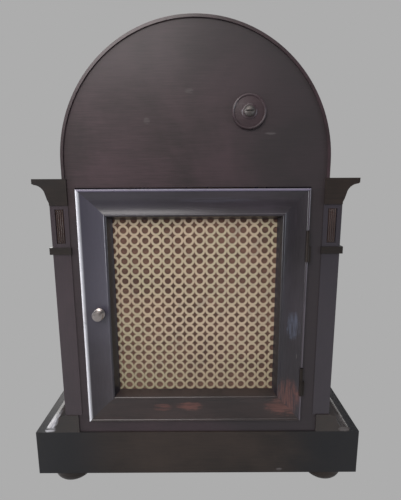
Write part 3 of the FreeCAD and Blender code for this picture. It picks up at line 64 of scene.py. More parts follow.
class CaseSettings(bpy.types.PropertyGroup):
    board_dark: colour_setting("Board, dark", "Dark grain of the arched boards", (0.014, 0.0085, 0.0092))
    board_light: colour_setting("Board, light", "Faded grain of the arched boards", (0.046, 0.0255, 0.031))
    door_dark: colour_setting("Door, dark", "Dark polish of the door frame", (0.010, 0.008, 0.010))
    door_light: colour_setting("Door, light", "Faded polish of the door frame", (0.028, 0.022, 0.029))
    plinth_dark: colour_setting("Plinth, dark", "Dark polish of the plinth", (0.008, 0.0055, 0.0045))
    plinth_light: colour_setting("Plinth, light", "Faded polish of the plinth", (0.027, 0.018, 0.014))
    worn_red: colour_setting("Worn wood", "Bare red wood where the polish has worn off", (0.105, 0.040, 0.032))
    reed: length_setting("Reed", "Width of one reed in a pilaster's flute", 0.0020)


class FretSettings(bpy.types.PropertyGroup):
    pitch_x: length_setting("Pitch across", "Distance between the centres of two rings of a row", 0.01132)
    pitch_z: length_setting("Pitch upright", "Distance between two rows of rings", 0.01083)
    hole: length_setting("Hole", "Radius of the hole in each ring", 0.00345)
    rim: length_setting("Rim", "Outer radius of each ring before its neighbours cut it", 0.00572)
    middle_x: length_setting("Middle X", "Sideways place of the lattice's middle", 0.0077)
    top_z: length_setting("Top row", "Height of the first full row of rings", 0.3068)
    brass: colour_setting("Brass", "Colour of the lacquered fret", (0.47, 0.39, 0.295))


class GongSettings(bpy.types.PropertyGroup):
    turns: bpy.props.IntProperty(name="Turns", description="Full turns of the coil", default=3, min=1)
    inner: length_setting("Inner radius", "Radius of the first half turn", 0.011)
    spacing: length_setting("Spacing", "Distance between two turns", 0.011)
    steps: bpy.props.IntProperty(name="Steps", description="Runs in each half turn", default=20, min=8)


class DialSettings(bpy.types.PropertyGroup):
    figure: length_setting("Figure height", "Height of the hour figures", 0.017)
    figure_inset: length_setting("Figure inset", "Distance of a figure's middle from the ring's edge", 0.0150)
    proud: length_setting("Wax height", "How far the wax stands on the metal", 0.00016)


class StageSettings(bpy.types.PropertyGroup):
    backdrop: colour_setting("Backdrop", "Colour of the floor and backdrop", (0.4179, 0.4179, 0.4179))
    lens: bpy.props.FloatProperty(
        name="Lens", description="Focal length of the camera, in millimetres", default=26.19)
    tilt: bpy.props.FloatProperty(
        name="Tilt", description="Angle that the camera looks down", subtype="ANGLE", unit="ROTATION",
        default=math.radians(10.28))
    roll: bpy.props.FloatProperty(
        name="Roll", description="Angle that the camera is turned about its view", subtype="ANGLE", unit="ROTATION",
        default=math.radians(-0.27))


# ---------------------------------------------------------------- materials: shader arithmetic
class Wire:
    """A socket's value that takes part in arithmetic; each operation adds its Math node."""

    def __init__(self, finish, socket):
        self.finish = finish
        self.socket = socket

    def maths(self, operation, *values):
        return self.finish.node("Math", {"operation": operation}, dict(enumerate(values)))

    def __add__(self, other):
        return self.maths("ADD", self, other)

    def __radd__(self, other):
        return self.maths("ADD", other, self)

    def __sub__(self, other):
        return self.maths("SUBTRACT", self, other)

    def __rsub__(self, other):
        return self.maths("SUBTRACT", other, self)

    def __mul__(self, other):
        return self.maths("MULTIPLY", self, other)

    def __rmul__(self, other):
        return self.maths("MULTIPLY", other, self)

    def __truediv__(self, other):
        return self.maths("DIVIDE", self, other)

    def __abs__(self):
        return self.maths("ABSOLUTE", self)

    def sine(self):
        return self.maths("SINE", self)


class Finish:
    """A surface finish under construction, with a Principled shader at its end."""

    def __init__(self, name):
        self.material = bpy.data.materials.new(name)
        self.material.use_nodes = True
        self.tree = self.material.node_tree
        self.shader = self.tree.nodes["Principled BSDF"]
        self.place = None

    def feed(self, socket, value):
        if isinstance(value, Wire):
            self.tree.links.new(value.socket, socket)
        else:
            socket.default_value = value

    def node(self, kind, settings=None, values=None, output=0):
        """Adds a node: its settings first, then the values or links of its sockets."""
        node = self.tree.nodes.new("ShaderNode" + kind)
        for name, value in (settings or {}).items():
            if name == "stops":
                self.set_stops(node.color_ramp, value)
            else:
                setattr(node, name, value)
        for key, value in (values or {}).items():
            self.feed(node.inputs[key], value)
        return Wire(self, node.outputs[output])

    @staticmethod
    def set_stops(ramp, stops):
        while len(ramp.elements) < len(stops):
            ramp.elements.new(0.5)
        for element, (position, colour) in zip(ramp.elements, stops):
            element.position = position
            element.color = (*colour, 1.0)

    def set(self, **values):
        """Sets sockets of the Principled shader by name, with _ for a space."""
        for name, value in values.items():
            socket = self.shader.inputs[name.replace("_", " ")]
            if not isinstance(value, Wire) and hasattr(value, "__len__") and len(value) == 3:
                value = (*value, 1.0)
            self.feed(socket, value)
        return self

    # places on the piece
    def coordinates(self, stretch=(1.0, 1.0, 1.0)):
        """Object coordinates in metres, stretched for each axis."""
        if self.place is None:
            self.place = self.node("TexCoord", output="Object")
        return self.node("Mapping", None, {"Vector": self.place, "Scale": stretch})

    def axes(self):
        """The x, y and z of a point on the piece."""
        if self.place is None:
            self.place = self.node("TexCoord", output="Object")
        split = self.tree.nodes.new("ShaderNodeSeparateXYZ")
        self.feed(split.inputs[0], self.place)
        return [Wire(self, socket) for socket in split.outputs]

    # patterns
    def noise(self, vector, scale, detail=3.0, roughness=0.55, distortion=0.0):
        return self.node("TexNoise", None, {"Vector": vector, "Scale": scale, "Detail": detail,
                                            "Roughness": roughness, "Distortion": distortion})

    def ramp(self, factor, low, high):
        """0 below low, 1 above high, smooth between."""
        return self.node("MapRange", {"interpolation_type": "SMOOTHSTEP"},
                         {"Value": factor, "From Min": low, "From Max": high, "To Min": 0.0, "To Max": 1.0})

    def near(self, axis, place, reach):
        """1 at a place along an axis, fading to 0 at reach from it."""
        return self.ramp(abs(axis - place), reach, 0.0)

    def spot(self, centre, reach):
        """1 at a centre (x, z), fading to 0 at reach (x, z) from it, ragged at its edge."""
        x, y, z = self.axes()
        across = (x - centre[0]) / reach[0]
        up = (z - centre[1]) / reach[1]
        ragged = self.noise(self.coordinates(), 160.0, 4.0, 0.7) * 1.3
        return self.ramp(across * across + up * up + ragged, 1.5, 0.75)

    def mix(self, factor, first, second):
        """Colour mix; a colour may be a plain triple."""
        values = {"Factor": factor, 6: self.colour(first), 7: self.colour(second)}
        return self.node("Mix", {"data_type": "RGBA"}, values, output=2)

    @staticmethod
    def colour(value):
        return value if isinstance(value, Wire) else (*value, 1.0)

    def bump(self, height, strength, distance, under=None):
        values = {"Height": height, "Strength": strength, "Distance": distance}
        if under is not None:
            values["Normal"] = under
        return self.node("Bump", None, values)


MARKS_FADE_IN = (0.075, 0.100)  # depths over which the worn spots and the painted highlights, sheen and reflections come in towards the back
FACE_REACH = 0.006  # how deep a line that keeps to a face goes


def varnished_wood(name, dark, light, stretch, gloss=0.34, coat=0.35, cloud=0.7, scratch=0.3, marks=(), edges=(),
                   tones=()):
    """Old black-stained wood under worn polish; stretch is small along the grain.

    marks holds (centre, reach, strength, colour) of worn spots near the clock's back, and of painted highlights,
    painted sheen and painted reflections laid on the same way; edges holds (axis, place, reach, strength, colour) of
    lines along the piece, with the depth of the face that they keep to where they keep to one: painted highlights on
    rounded outer edges, painted shade at the door's sight edges and a faint pale line on the arch shell; tones holds
    (axis, low, high, strength, colour) of the polish's colour changing along an axis."""
    f = Finish(name)
    grain_field = f.coordinates(stretch)
    fibres = f.noise(grain_field, 30.0, 5.0, 0.62, 0.3)
    pores = f.noise(grain_field, 130.0, 3.0, 0.6)
    clouds = f.noise(f.coordinates((9.0, 9.0, 9.0)), 1.0, 4.0, 0.6, 0.4)
    fade = f.ramp(clouds * cloud + fibres * (1.0 - cloud), 0.34, 0.68)
    colour = f.mix(fade, dark, light)
    axes = dict(zip("xyz", f.axes()))
    for axis, low, high, strength, tone in tones:
        colour = f.mix(f.ramp(axes[axis] + (clouds - 0.5) * 0.06, low, high) * strength, colour, tone)
    line = f.ramp(pores, 0.60, 0.74)
    colour = f.mix(line * 0.35, colour, tuple(c * 0.55 for c in dark))
    field = f.coordinates(tuple(0.35 + s * 0.2 for s in stretch))
    scuffs = f.ramp(f.noise(field, 60.0, 6.0, 0.75, 1.2), 0.655, 0.72)
    dust = tuple(min(1.0, c * 2.0 + 0.008) for c in light)
    colour = f.mix(scuffs * scratch, colour, dust)
    streaks = f.ramp(fibres, 0.34, 0.60)
    for centre, reach, strength, tone in marks:
        # mask of a worn spot, a painted highlight, painted sheen or a painted reflection, broken up by the grain
        # streaks
        rub_and_highlight_mask = f.spot(centre, reach) * streaks * f.ramp(axes["y"], *MARKS_FADE_IN)
        colour = f.mix(rub_and_highlight_mask * strength, colour, tone)
    for axis, place, reach, strength, tone, *face in edges:
        # line along an edge, broken up by noise: painted highlights on rounded edges, painted shade at sight edges
        line = f.near(axes[axis], place, reach) * f.ramp(f.noise(f.coordinates(), 40.0, 5.0, 0.7), 0.20, 0.46)
        for depth in face:
            line = line * f.near(axes["y"], depth, FACE_REACH)
        colour = f.mix(line * strength, colour, tone)
    rough = gloss + (1.0 - clouds) * 0.14 + scuffs * 0.2
    f.set(Base_Color=colour, Roughness=rough, Coat_Weight=coat, Coat_Roughness=0.22, Specular_IOR_Level=0.35)
    soft = f.bump(fibres, 0.12, 0.0003)
    f.set(Normal=f.bump(scuffs, 0.12, 0.0002, soft))
    return f.material


def plain_wood(name, dark, light, stretch):
    """Unpolished inside wood."""
    f = Finish(name)
    field = f.coordinates(stretch)
    fibres = f.noise(field, 26.0, 5.0, 0.6, 0.4)
    rings = f.node("TexWave", {"wave_type": "BANDS", "bands_direction": "Z"},
                   {"Vector": field, "Scale": 6.0, "Distortion": 9.0, "Detail": 3.0}, output=1)
    colour = f.mix(f.ramp(fibres * 0.6 + rings * 0.4, 0.25, 0.75), dark, light)
    grime = f.ramp(f.noise(f.coordinates((11.0, 11.0, 11.0)), 1.0, 4.0), 0.45, 0.75)
    colour = f.mix(grime * 0.45, colour, tuple(c * 0.4 for c in dark))
    f.set(Base_Color=colour, Roughness=0.62 + fibres * 0.2, Normal=f.bump(fibres, 0.3, 0.0004))
    return f.material


def metal(name, colour, tarnish, rough, brushed=(1.0, 1.0, 1.0), spots=0.5, coat=0.0):
    """Polished metal with tarnish in clouds, fine brushing and small spots."""
    f = Finish(name)
    clouds = f.noise(f.coordinates((28.0, 28.0, 28.0)), 1.0, 5.0, 0.65, 0.3)
    lines = f.noise(f.coordinates(brushed), 420.0, 2.0, 0.5)
    specks = f.ramp(f.noise(f.coordinates(), 700.0, 2.0, 0.5), 0.63, 0.72)
    shade = f.mix(f.ramp(clouds, 0.40, 0.78) * 0.7, colour, tarnish)
    shade = f.mix(specks * spots, shade, tuple(c * 0.45 for c in tarnish))
    f.set(Base_Color=shade, Metallic=1.0 - specks * 0.4, Roughness=rough + clouds * 0.18 + specks * 0.25,
          Coat_Weight=coat, Coat_Roughness=0.15, Normal=f.bump(lines, 0.12, 0.0001))
    return f.material


def fret_brass(name, colour):
    """Old lacquered fret brass: cream, with pink and green tinges, darker towards the bottom and with small brighter
    spots.
    """
    f = Finish(name)
    _, _, z = f.axes()
    tinge = f.noise(f.coordinates((24.0, 24.0, 24.0)), 1.0, 4.0, 0.6)
    blotch = f.noise(f.coordinates((60.0, 60.0, 60.0)), 1.0, 3.0, 0.7)
    pink = tuple(c * k for c, k in zip(colour, (1.02, 0.96, 0.92)))
    green = tuple(c * k for c, k in zip(colour, (0.93, 0.97, 0.88)))
    shade = f.mix(f.ramp(tinge, 0.36, 0.64), pink, green)
    shade = f.mix(f.ramp(blotch, 0.28, 0.48), tuple(c * 0.80 for c in colour), shade)
    bright = f.ramp(f.noise(f.coordinates(), 240.0, 3.0, 0.6), 0.60, 0.72)
    shade = f.mix(bright * 0.55, shade, tuple(min(1.0, c * 1.45) for c in colour))
    low = f.ramp(z, 0.215, 0.128)
    shade = f.mix(low * 0.42, shade, tuple(c * k for c, k in zip(colour, (0.50, 0.52, 0.40))))
    f.set(Base_Color=shade, Metallic=0.35 + bright * 0.3, Roughness=0.44 + blotch * 0.2,
          Normal=f.bump(f.noise(f.coordinates(), 900.0, 2.0), 0.2, 0.0001))
    return f.material


def sound_cloth(name, dark, light):
    """Thin faded silk with a plain weave and slubs."""
    f = Finish(name)
    x, _, z = f.axes()
    warp = (x * 2.0 * math.pi / 0.00062).sine()
    weft = (z * 2.0 * math.pi / 0.00062).sine()
    weave = (warp * weft) * 0.5 + 0.5
    slubs = f.noise(f.coordinates((30.0, 1.0, 320.0)), 1.0, 3.0, 0.6)
    fade = f.noise(f.coordinates((22.0, 22.0, 22.0)), 1.0, 4.0, 0.6)
    shade = f.mix(f.ramp(fade * 0.6 + slubs * 0.4, 0.35, 0.65), dark, light)
    shade = f.mix(weave * 0.4, shade, tuple(c * 0.55 for c in dark))
    f.set(Base_Color=shade, Roughness=0.86, Normal=f.bump(weave * 0.6 + slubs * 0.4, 0.35, 0.0002))
    f.set(Sheen_Weight=0.25, Sheen_Roughness=0.5)
    return f.material


def clear_glass(name):
    """Thin old door glass with faint smears."""
    f = Finish(name)
    smear = f.noise(f.coordinates((14.0, 14.0, 40.0)), 1.0, 4.0, 0.6, 0.8)
    f.set(Base_Color=(0.93, 0.96, 0.95), Roughness=0.02 + f.ramp(smear, 0.5, 0.8) * 0.08, IOR=1.48,
          Transmission_Weight=0.0, Alpha=0.10 + f.ramp(smear, 0.55, 0.85) * 0.06, Specular_IOR_Level=0.7,
          Normal=f.bump(smear, 0.05, 0.0005))
    return f.material


def painted_iron(name, colour):
    """Black paint on a rough casting."""
    f = Finish(name)
    grit = f.noise(f.coordinates(), 350.0, 4.0, 0.6)
    chips = f.ramp(f.noise(f.coordinates(), 90.0, 5.0, 0.7), 0.64, 0.70)
    shade = f.mix(grit * 0.5, colour, tuple(c * 1.8 for c in colour))
    shade = f.mix(chips * 0.5, shade, (0.16, 0.10, 0.07))
    f.set(Base_Color=shade, Roughness=0.45 + grit * 0.2, Metallic=0.0, Coat_Weight=0.2,
          Normal=f.bump(grit, 0.4, 0.0003))
    return f.material


def enamel_ink(name, colour):
    """Dull black wax in the engraved figures."""
    f = Finish(name)
    wear = f.noise(f.coordinates(), 500.0, 3.0, 0.6)
    f.set(Base_Color=f.mix(f.ramp(wear, 0.45, 0.75) * 0.5, colour, tuple(c * 3.0 for c in colour)),
          Roughness=0.5 + wear * 0.2)
    return f.material


# ---------------------------------------------------------------- modelling helpers
def deselect():
    """Nothing selected, object mode."""
    if bpy.context.object is not None and bpy.context.object.mode != "OBJECT":
        bpy.ops.object.mode_set(mode="OBJECT")
    bpy.ops.object.select_all(action="DESELECT")


def take(piece):
    """Selects one piece and makes it active."""
    deselect()
    piece.select_set(True)
    bpy.context.view_layer.objects.active = piece


def named(name):
    """Names the newest piece."""
    piece = bpy.context.object
    piece.name = name
    piece.data.name = name
    return piece


def settle(piece, smooth=None):
    """Puts the piece's place into its mesh, its faces outwards, and shades it."""
    take(piece)
    bpy.ops.object.transform_apply(location=True, rotation=True, scale=True)
    bpy.ops.object.mode_set(mode="EDIT")
    bpy.ops.mesh.select_all(action="SELECT")
    bpy.ops.mesh.remove_doubles(threshold=0.000005)
    bpy.ops.mesh.normals_make_consistent(inside=False)
    bpy.ops.object.mode_set(mode="OBJECT")
    if smooth is not None:
        bpy.ops.object.shade_smooth_by_angle(angle=math.radians(smooth))
    return piece


def modify(piece, kind, **settings):
    """Adds a modifier and applies it."""
    take(piece)
    modifier = piece.modifiers.new(kind.title(), kind)
    for name, value in settings.items():
        setattr(modifier, name, value)
    bpy.ops.object.modifier_apply(modifier=modifier.name)
    return piece


def dress(piece, material, body, slot, *replaced):
    """Gives a finished piece its material and body, and hides the nodes that it stands for; slot is not used."""
    piece.data.materials.clear()
    piece.data.materials.append(material)
    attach(piece, body)
    if replaced:
        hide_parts(*replaced)
    return piece


AXIS_TURN = {"x": (0.0, math.pi / 2.0, 0.0), "y": (math.pi / 2.0, 0.0, 0.0), "z": (0.0, 0.0, 0.0)}


def turned(name, centre, axis, profile, sides=40, smooth=35):
    """A turned piece: a disc at the profile's start, extruded and scaled along its axis.

    profile holds (radius, place along the axis); centre gives the other two coordinates."""
    deselect()
    index = "xyz".index(axis)
    start = Vector(centre)
    start[index] = profile[0][1]
    bpy.ops.mesh.primitive_circle_add(vertices=sides, radius=profile[0][0], fill_type="NGON", location=start,
                                      rotation=AXIS_TURN[axis])
    piece = named(name)
    settle(piece)
    bpy.ops.object.mode_set(mode="EDIT")
    bpy.ops.mesh.select_all(action="SELECT")
    here = profile[0]
    for radius, place in profile[1:]:
        move = Vector((0, 0, 0))
        move[index] = place - here[1]
        bpy.ops.mesh.extrude_region_move(TRANSFORM_OT_translate={"value": move})
        middle = Vector(centre)
        middle[index] = place
        scale = radius / here[0]
        factors = [scale] * 3
        factors[index] = 1.0
        bpy.ops.transform.resize(value=factors, center_override=middle)
        here = (radius, place)
    bpy.ops.object.mode_set(mode="OBJECT")
    return settle(piece, smooth)


def cut_off(piece, point, normal):
    """Removes what lies beyond a plane, on its normal's side, and closes nothing."""
    take(piece)
    bpy.ops.object.mode_set(mode="EDIT")
    bpy.ops.mesh.select_all(action="SELECT")
    bpy.ops.mesh.bisect(plane_co=point, plane_no=normal, clear_outer=True, use_fill=False)
    bpy.ops.object.mode_set(mode="OBJECT")


def repeat(piece, places):
    """Copies a mesh within itself: places are moves from where it stands."""
    take(piece)
    bpy.ops.object.mode_set(mode="EDIT")
    bpy.ops.mesh.select_all(action="SELECT")
    here = Vector((0, 0, 0))
    for place in places:
        step = Vector(place) - here
        bpy.ops.mesh.duplicate_move(TRANSFORM_OT_translate={"value": step})
        here = Vector(place)
    bpy.ops.object.mode_set(mode="OBJECT")
    return piece


def spun(piece, centre, count):
    """Repeats a mesh evenly round an axis along Y."""
    take(piece)
    bpy.ops.object.mode_set(mode="EDIT")
    bpy.ops.mesh.select_all(action="SELECT")
    angle = 2.0 * math.pi * (count - 1) / count
    bpy.ops.mesh.spin(steps=count - 1, dupli=True, angle=angle, center=centre, axis=(0, 1, 0))
    bpy.ops.object.mode_set(mode="OBJECT")
    return piece


def block(name, low, high, bevel=0.0):
    """A rectangular piece between two corners, its edges eased when a bevel is given."""
    deselect()
    low, high = Vector(low), Vector(high)
    bpy.ops.mesh.primitive_cube_add(size=1.0, location=(low + high) / 2.0)
    piece = named(name)
    piece.scale = high - low
    settle(piece)
    if bevel:
        modify(piece, "BEVEL", width=bevel, segments=2)
    return piece


def joined(first, *others):
    """One piece from several."""
    deselect()
    for piece in (first, *others):
        piece.select_set(True)
    bpy.context.view_layer.objects.active = first
    bpy.ops.object.join()
    return first


def figure(name, words, size, thickness):
    """A flat word made a mesh, upright and facing the front, about its own centre."""
    deselect()
    bpy.ops.object.text_add()
    text = bpy.context.object
    text.data.body = words
    text.data.size = size
    text.data.align_x = "CENTER"
    text.data.align_y = "CENTER"
    text.data.extrude = thickness / 2.0
    text.data.resolution_u = 3
    bpy.ops.object.convert(target="MESH")
    piece = named(name)
    piece.rotation_euler = (math.pi / 2.0, 0.0, 0.0)
    return settle(piece)


def ring_figure(name, words, size, thickness, turn, radius, centre):
    """A figure on a dial ring, turned so that its foot points to the ring's centre."""
    part = figure(name, words, size, thickness)
    take(part)
    part.rotation_euler = (0.0, turn, 0.0)
    part.location = (centre[0] + radius * math.sin(turn), centre[1], centre[2] + radius * math.cos(turn))
    return settle(part)


def slotted(name, centre, face, out, radius):
    """A slotted screw head on a face square to Y; out is +1 or -1, the way that the head looks."""
    x, z = centre
    steps = ((1.0, 0.0), (1.0, 0.35), (0.86, 0.55), (0.5, 0.68), (0.05, 0.72))
    profile = [(radius * share, face + out * radius * rise) for share, rise in steps]
    head = turned(name, (x, face, z), "y", profile, 18)
    far = face + out * radius
    near = face + out * radius * 0.42
    slot = block(name + "_slot", (x - radius * 1.2, min(near, far), z - radius * 0.13),
                 (x + radius * 1.2, max(near, far), z + radius * 0.13))
    modify(head, "BOOLEAN", operation="DIFFERENCE", object=slot, solver="EXACT")
    bpy.data.objects.remove(slot)
    return settle(head, 30)


# ---------------------------------------------------------------- the stage
CAMERA_PLACE = (-0.0044, 0.47825, 0.3539)
WORLD_STRENGTH = 0.30


class CLOCK_OT_stage(bpy.types.Operator):
    """Floor, backdrop, lamps and the camera at the photograph's place"""
    bl_idname = "clock.stage"
    bl_label = "Stage"

    def execute(self, context):
        settings = context.scene.clock_stage
        context.scene.view_settings.view_transform = "Standard"
        self.sweep(tuple(settings.backdrop))
        self.world(tuple(settings.backdrop))
        self.lamps()
        self.camera(settings)
        return {"FINISHED"}

    def sweep(self, colour):
        """A pale floor; the camera sees it as an even glow in the backdrop's tone, other rays see its paper."""
        deselect()
        bpy.ops.mesh.primitive_plane_add(size=8.0, location=(0.0, 0.0, 0.0))
        floor = named("studio_floor")
        settle(floor)
        f = Finish("studio_paper")
        fibre = f.noise(f.coordinates(), 180.0, 3.0)
        f.set(Base_Color=f.mix(fibre * 0.1, colour, tuple(c * 0.97 for c in colour)), Roughness=0.9,
              Specular_IOR_Level=0.1)
        seen = Wire(f, f.tree.nodes.new("ShaderNodeLightPath").outputs["Is Camera Ray"])
        glow = f.node("Emission", None, {"Color": (*colour, 1.0), "Strength": 1.0})
        both = f.tree.nodes.new("ShaderNodeMixShader")
        f.feed(both.inputs[0], seen)
        f.tree.links.new(f.shader.outputs[0], both.inputs[1])
        f.feed(both.inputs[2], glow)
        f.tree.links.new(both.outputs[0], f.tree.nodes["Material Output"].inputs["Surface"])
        floor.data.materials.append(f.material)

    def world(self, colour):
        world = bpy.data.worlds.new("studio_air")
        world.use_nodes = True
        tree = world.node_tree
        background = tree.nodes["Background"]
        background.inputs["Color"].default_value = (0.42, 0.43, 0.46, 1.0)
        background.inputs["Strength"].default_value = WORLD_STRENGTH
        backdrop = tree.nodes.new("ShaderNodeBackground")
        backdrop.inputs["Color"].default_value = (*colour, 1.0)
        path = tree.nodes.new("ShaderNodeLightPath")
        both = tree.nodes.new("ShaderNodeMixShader")
        tree.links.new(path.outputs["Is Camera Ray"], both.inputs[0])
        tree.links.new(background.outputs[0], both.inputs[1])
        tree.links.new(backdrop.outputs[0], both.inputs[2])
        tree.links.new(both.outputs[0], tree.nodes["World Output"].inputs["Surface"])
        bpy.context.scene.world = world

    def lamp(self, name, place, aim, size, power, colour):
        light = bpy.data.lights.new(name, "AREA")
        light.shape = "RECTANGLE"
        light.size, light.size_y = size
        light.energy = power
        light.color = colour
        lamp = bpy.data.objects.new(name, light)
        bpy.context.scene.collection.objects.link(lamp)
        lamp.location = place
        lamp.rotation_euler = (Vector(aim) - Vector(place)).to_track_quat("-Z", "Y").to_euler()

    def lamps(self):
        middle = (0.0, 0.0, 0.25)
        self.lamp("soft_key", (0.55, 1.35, 1.25), middle, (1.2, 0.9), 24.0, (1.0, 0.96, 0.94))
        self.lamp("left_window", (1.25, 0.35, 0.45), (0.12, 0.1, 0.25), (0.5, 1.1), 16.0, (0.93, 0.95, 1.0))
        self.lamp("right_window", (-1.3, 0.55, 0.4), (-0.12, 0.1, 0.25), (0.5, 0.8), 7.0, (0.82, 0.90, 1.0))
        self.lamp("front_fill", (0.2, -1.6, 1.0), middle, (1.4, 1.2), 18.0, (1.0, 0.98, 0.96))
        self.lamp("top_wash", (0.0, 0.1, 1.7), middle, (1.4, 1.4), 14.0, (1.0, 1.0, 1.0))

    def camera(self, settings):
        data = bpy.data.cameras.new("photo_camera")
        data.lens = settings.lens
        data.sensor_width = 36.0
        data.clip_start = 0.01
        camera = bpy.data.objects.new("photo_camera", data)
        bpy.context.scene.collection.objects.link(camera)
        tilt, roll = settings.tilt, settings.roll
        level = Vector((-1.0, 0.0, 0.0))
        upright = Vector((0.0, -math.sin(tilt), math.cos(tilt)))
        right = level * math.cos(roll) + upright * math.sin(roll)
        up = upright * math.cos(roll) - level * math.sin(roll)
        back = right.cross(up)
        turn = Matrix((right, up, back)).transposed().to_4x4()
        camera.matrix_world = Matrix.Translation(CAMERA_PLACE) @ turn
        bpy.context.scene.camera = camera


# ---------------------------------------------------------------- finishes of the CAD nodes
ALONG_X = (1.6, 1.6, 26.0)
ALONG_Z = (26.0, 26.0, 1.6)


def paint(material, *names):
    """Gives CAD nodes a material."""
    for name in names:
        mesh = NODES[name].data
        mesh.materials.clear()
        mesh.materials.append(material)


class CLOCK_OT_case_finish(bpy.types.Operator):
    """Varnished and plain woods of the case and its doors"""
    bl_idname = "clock.case_finish"
    bl_label = "Case finish"

    def execute(self, context):
        c = context.scene.clock_case
        board = (tuple(c.board_dark), tuple(c.board_light))
        door = (tuple(c.door_dark), tuple(c.door_light))
        base = (tuple(c.plinth_dark), tuple(c.plinth_light))
        red = tuple(c.worn_red)
        green, slate = (0.016, 0.0145, 0.0155), (0.036, 0.034, 0.046)
        # painted shade for the door's sight edges, where the rebate lies in shadow
        shade = (0.005, 0.0045, 0.007)
        # grey for rubs and scratches; the pale colour is a painted highlight for the bullnose and the moulding
        grey, highlight_white = (0.11, 0.10, 0.10), (0.62, 0.62, 0.66)
        # places of the door's painted edge highlights and painted sight-edge shade
        low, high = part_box("back_door_stile_right")
        left_edge, left_sight, face = high.x - 0.0016, low.x + 0.0030, high.y
        low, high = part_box("back_door_stile_left")
        right_sight, right_edge, top_edge = high.x - 0.0030, low.x + 0.0012, high.z - 0.0016
        top_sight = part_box("back_door_top_rail")[0].z + 0.0026
        arch_marks = (((0.005, 0.441), (0.006, 0.003), 0.3, grey), ((0.047, 0.414), (0.004, 0.004), 0.3, grey),
                      ((-0.073, 0.402), (0.007, 0.002), 0.35, grey))
        paint(varnished_wood("arch_board_polish", *board, ALONG_X, gloss=0.46, coat=0.12, scratch=0.12,
                             marks=arch_marks,
                             tones=(("x", 0.04, -0.09, 0.6, green), ("z", 0.41, 0.49, 0.35, green),
                                    ("z", 0.34, 0.28, 0.5, (0.028, 0.023, 0.027)))), "back_board")
        paint(varnished_wood("front_board_polish", *board, ALONG_X, gloss=0.3), "front_board")
        paint(varnished_wood("arch_shell_polish", *board, (1.6, 26.0, 1.6), gloss=0.34, scratch=0.2,
                             edges=(("y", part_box("arch_shell")[0].y, 0.002, 0.15, grey),)), "arch_shell")
        paint(varnished_wood("side_polish", *base, ALONG_Z, gloss=0.26, coat=0.5),
              "side_board_left", "side_board_right")
        paint(varnished_wood("pilaster_polish", *board, ALONG_Z, gloss=0.32,
                             tones=(("x", 0.02, -0.12, 0.8, (0.029, 0.026, 0.033)),
                                    ("x", 0.08, 0.13, 0.5, (0.042, 0.033, 0.040)))),
              "back_pilasters", "front_pilasters")
        paint(varnished_wood("collar_polish", *base, ALONG_X, gloss=0.3), "pilaster_collars", "capitals")
        # painted highlight along the outer bullnose and painted shade along the sight edge
        paint(varnished_wood("knob_stile_polish", *door, ALONG_Z, gloss=0.30, coat=0.5, scratch=0.15,
                             edges=(("x", left_edge, 0.0030, 1.0, highlight_white, face), ("x", left_sight, 0.0042, 0.95, shade)),
                             tones=(("z", 0.14, 0.24, 0.75, (0.055, 0.052, 0.072)),)), "back_door_stile_right")
        nick = ((-0.0933, 0.0315), (0.004, 0.003), 0.9, grey)
        corner = ((-0.098, 0.122), (0.018, 0.028), 0.9, red)
        # glint is a painted reflection of a window on the stile; the red corner and the scratch are wear
        glint = ((-0.1025, 0.205), (0.0085, 0.020), 0.6, (0.075, 0.088, 0.130))
        scratch = ((-0.1073, 0.171), (0.0007, 0.004), 0.45, grey)
        # painted shade along the sight edge and a painted highlight along the bullnose
        paint(varnished_wood("hinge_stile_polish", *door, ALONG_Z, gloss=0.30, coat=0.5, scratch=0.15,
                             marks=(corner, glint, scratch), edges=(("x", right_sight, 0.0042, 0.9, shade),
                                    ("x", right_edge, 0.0012, 0.6, (0.12, 0.10, 0.12), face))),
              "back_door_stile_left")
        # the long slate band is painted sheen, the top edge line a painted highlight on the bullnose, the sight edge
        # line painted shade
        paint(varnished_wood("top_rail_polish", *door, ALONG_X, gloss=0.30, coat=0.5, scratch=0.2,
                             marks=(((-0.022, 0.338), (0.050, 0.004), 0.6, slate),),
                             edges=(("z", top_edge, 0.0020, 0.8, (0.18, 0.16, 0.23), face),
                                    ("z", top_sight, 0.0034, 0.9, shade)),
                             tones=(("x", -0.04, 0.10, 0.5, slate),)), "back_door_top_rail")
        spots = (((0.038, 0.111), (0.013, 0.006), 0.75, red), ((0.008, 0.112), (0.018, 0.007), 0.9, red),
                 ((-0.097, 0.112), (0.028, 0.014), 0.9, red))
        paint(varnished_wood("bottom_rail_polish", (0.009, 0.006, 0.006), (0.028, 0.017, 0.016), ALONG_X, gloss=0.32,
                             coat=0.5, scratch=0.2, marks=spots),
              "back_door_bottom_rail")
        paint(varnished_wood("front_door_polish", *door, ALONG_Z, gloss=0.24, coat=0.6), "front_door_frame")
        corner_tone = (0.003, 0.004, 0.006)
        paint(varnished_wood("plinth_polish", *base, ALONG_X, gloss=0.42, coat=0.15, scratch=0.3, marks=(nick,),
                             tones=(("x", 0.08, 0.15, 0.85, corner_tone), ("x", -0.08, -0.15, 0.85, corner_tone))),
              "plinth_rails")
        low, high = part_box("base_mouldings")
        # the white spot is a painted highlight on the cove, the red spot is wood worn bare and the grey spot a small
        # pale mark
        worn = (((high.x - 0.004, low.z + 0.004), (0.010, 0.007), 0.6, highlight_white),
                ((high.x - 0.008, low.z + 0.022), (0.012, 0.016), 0.8, red),
                ((low.x + 0.006, low.z + 0.003), (0.008, 0.004), 0.6, grey))
        paint(varnished_wood("moulding_polish", *base, ALONG_X, gloss=0.20, coat=0.7, scratch=0.15, marks=worn),
              "base_mouldings")
        paint(varnished_wood("foot_polish", *base, ALONG_X, gloss=0.36, coat=0.3, scratch=0.15), "bun_feet")
        paint(plain_wood("inside_oak", (0.16, 0.085, 0.038), (0.34, 0.20, 0.10), ALONG_X),
              "floor_board", "seat_board", "seat_bearers")
        return {"FINISHED"}


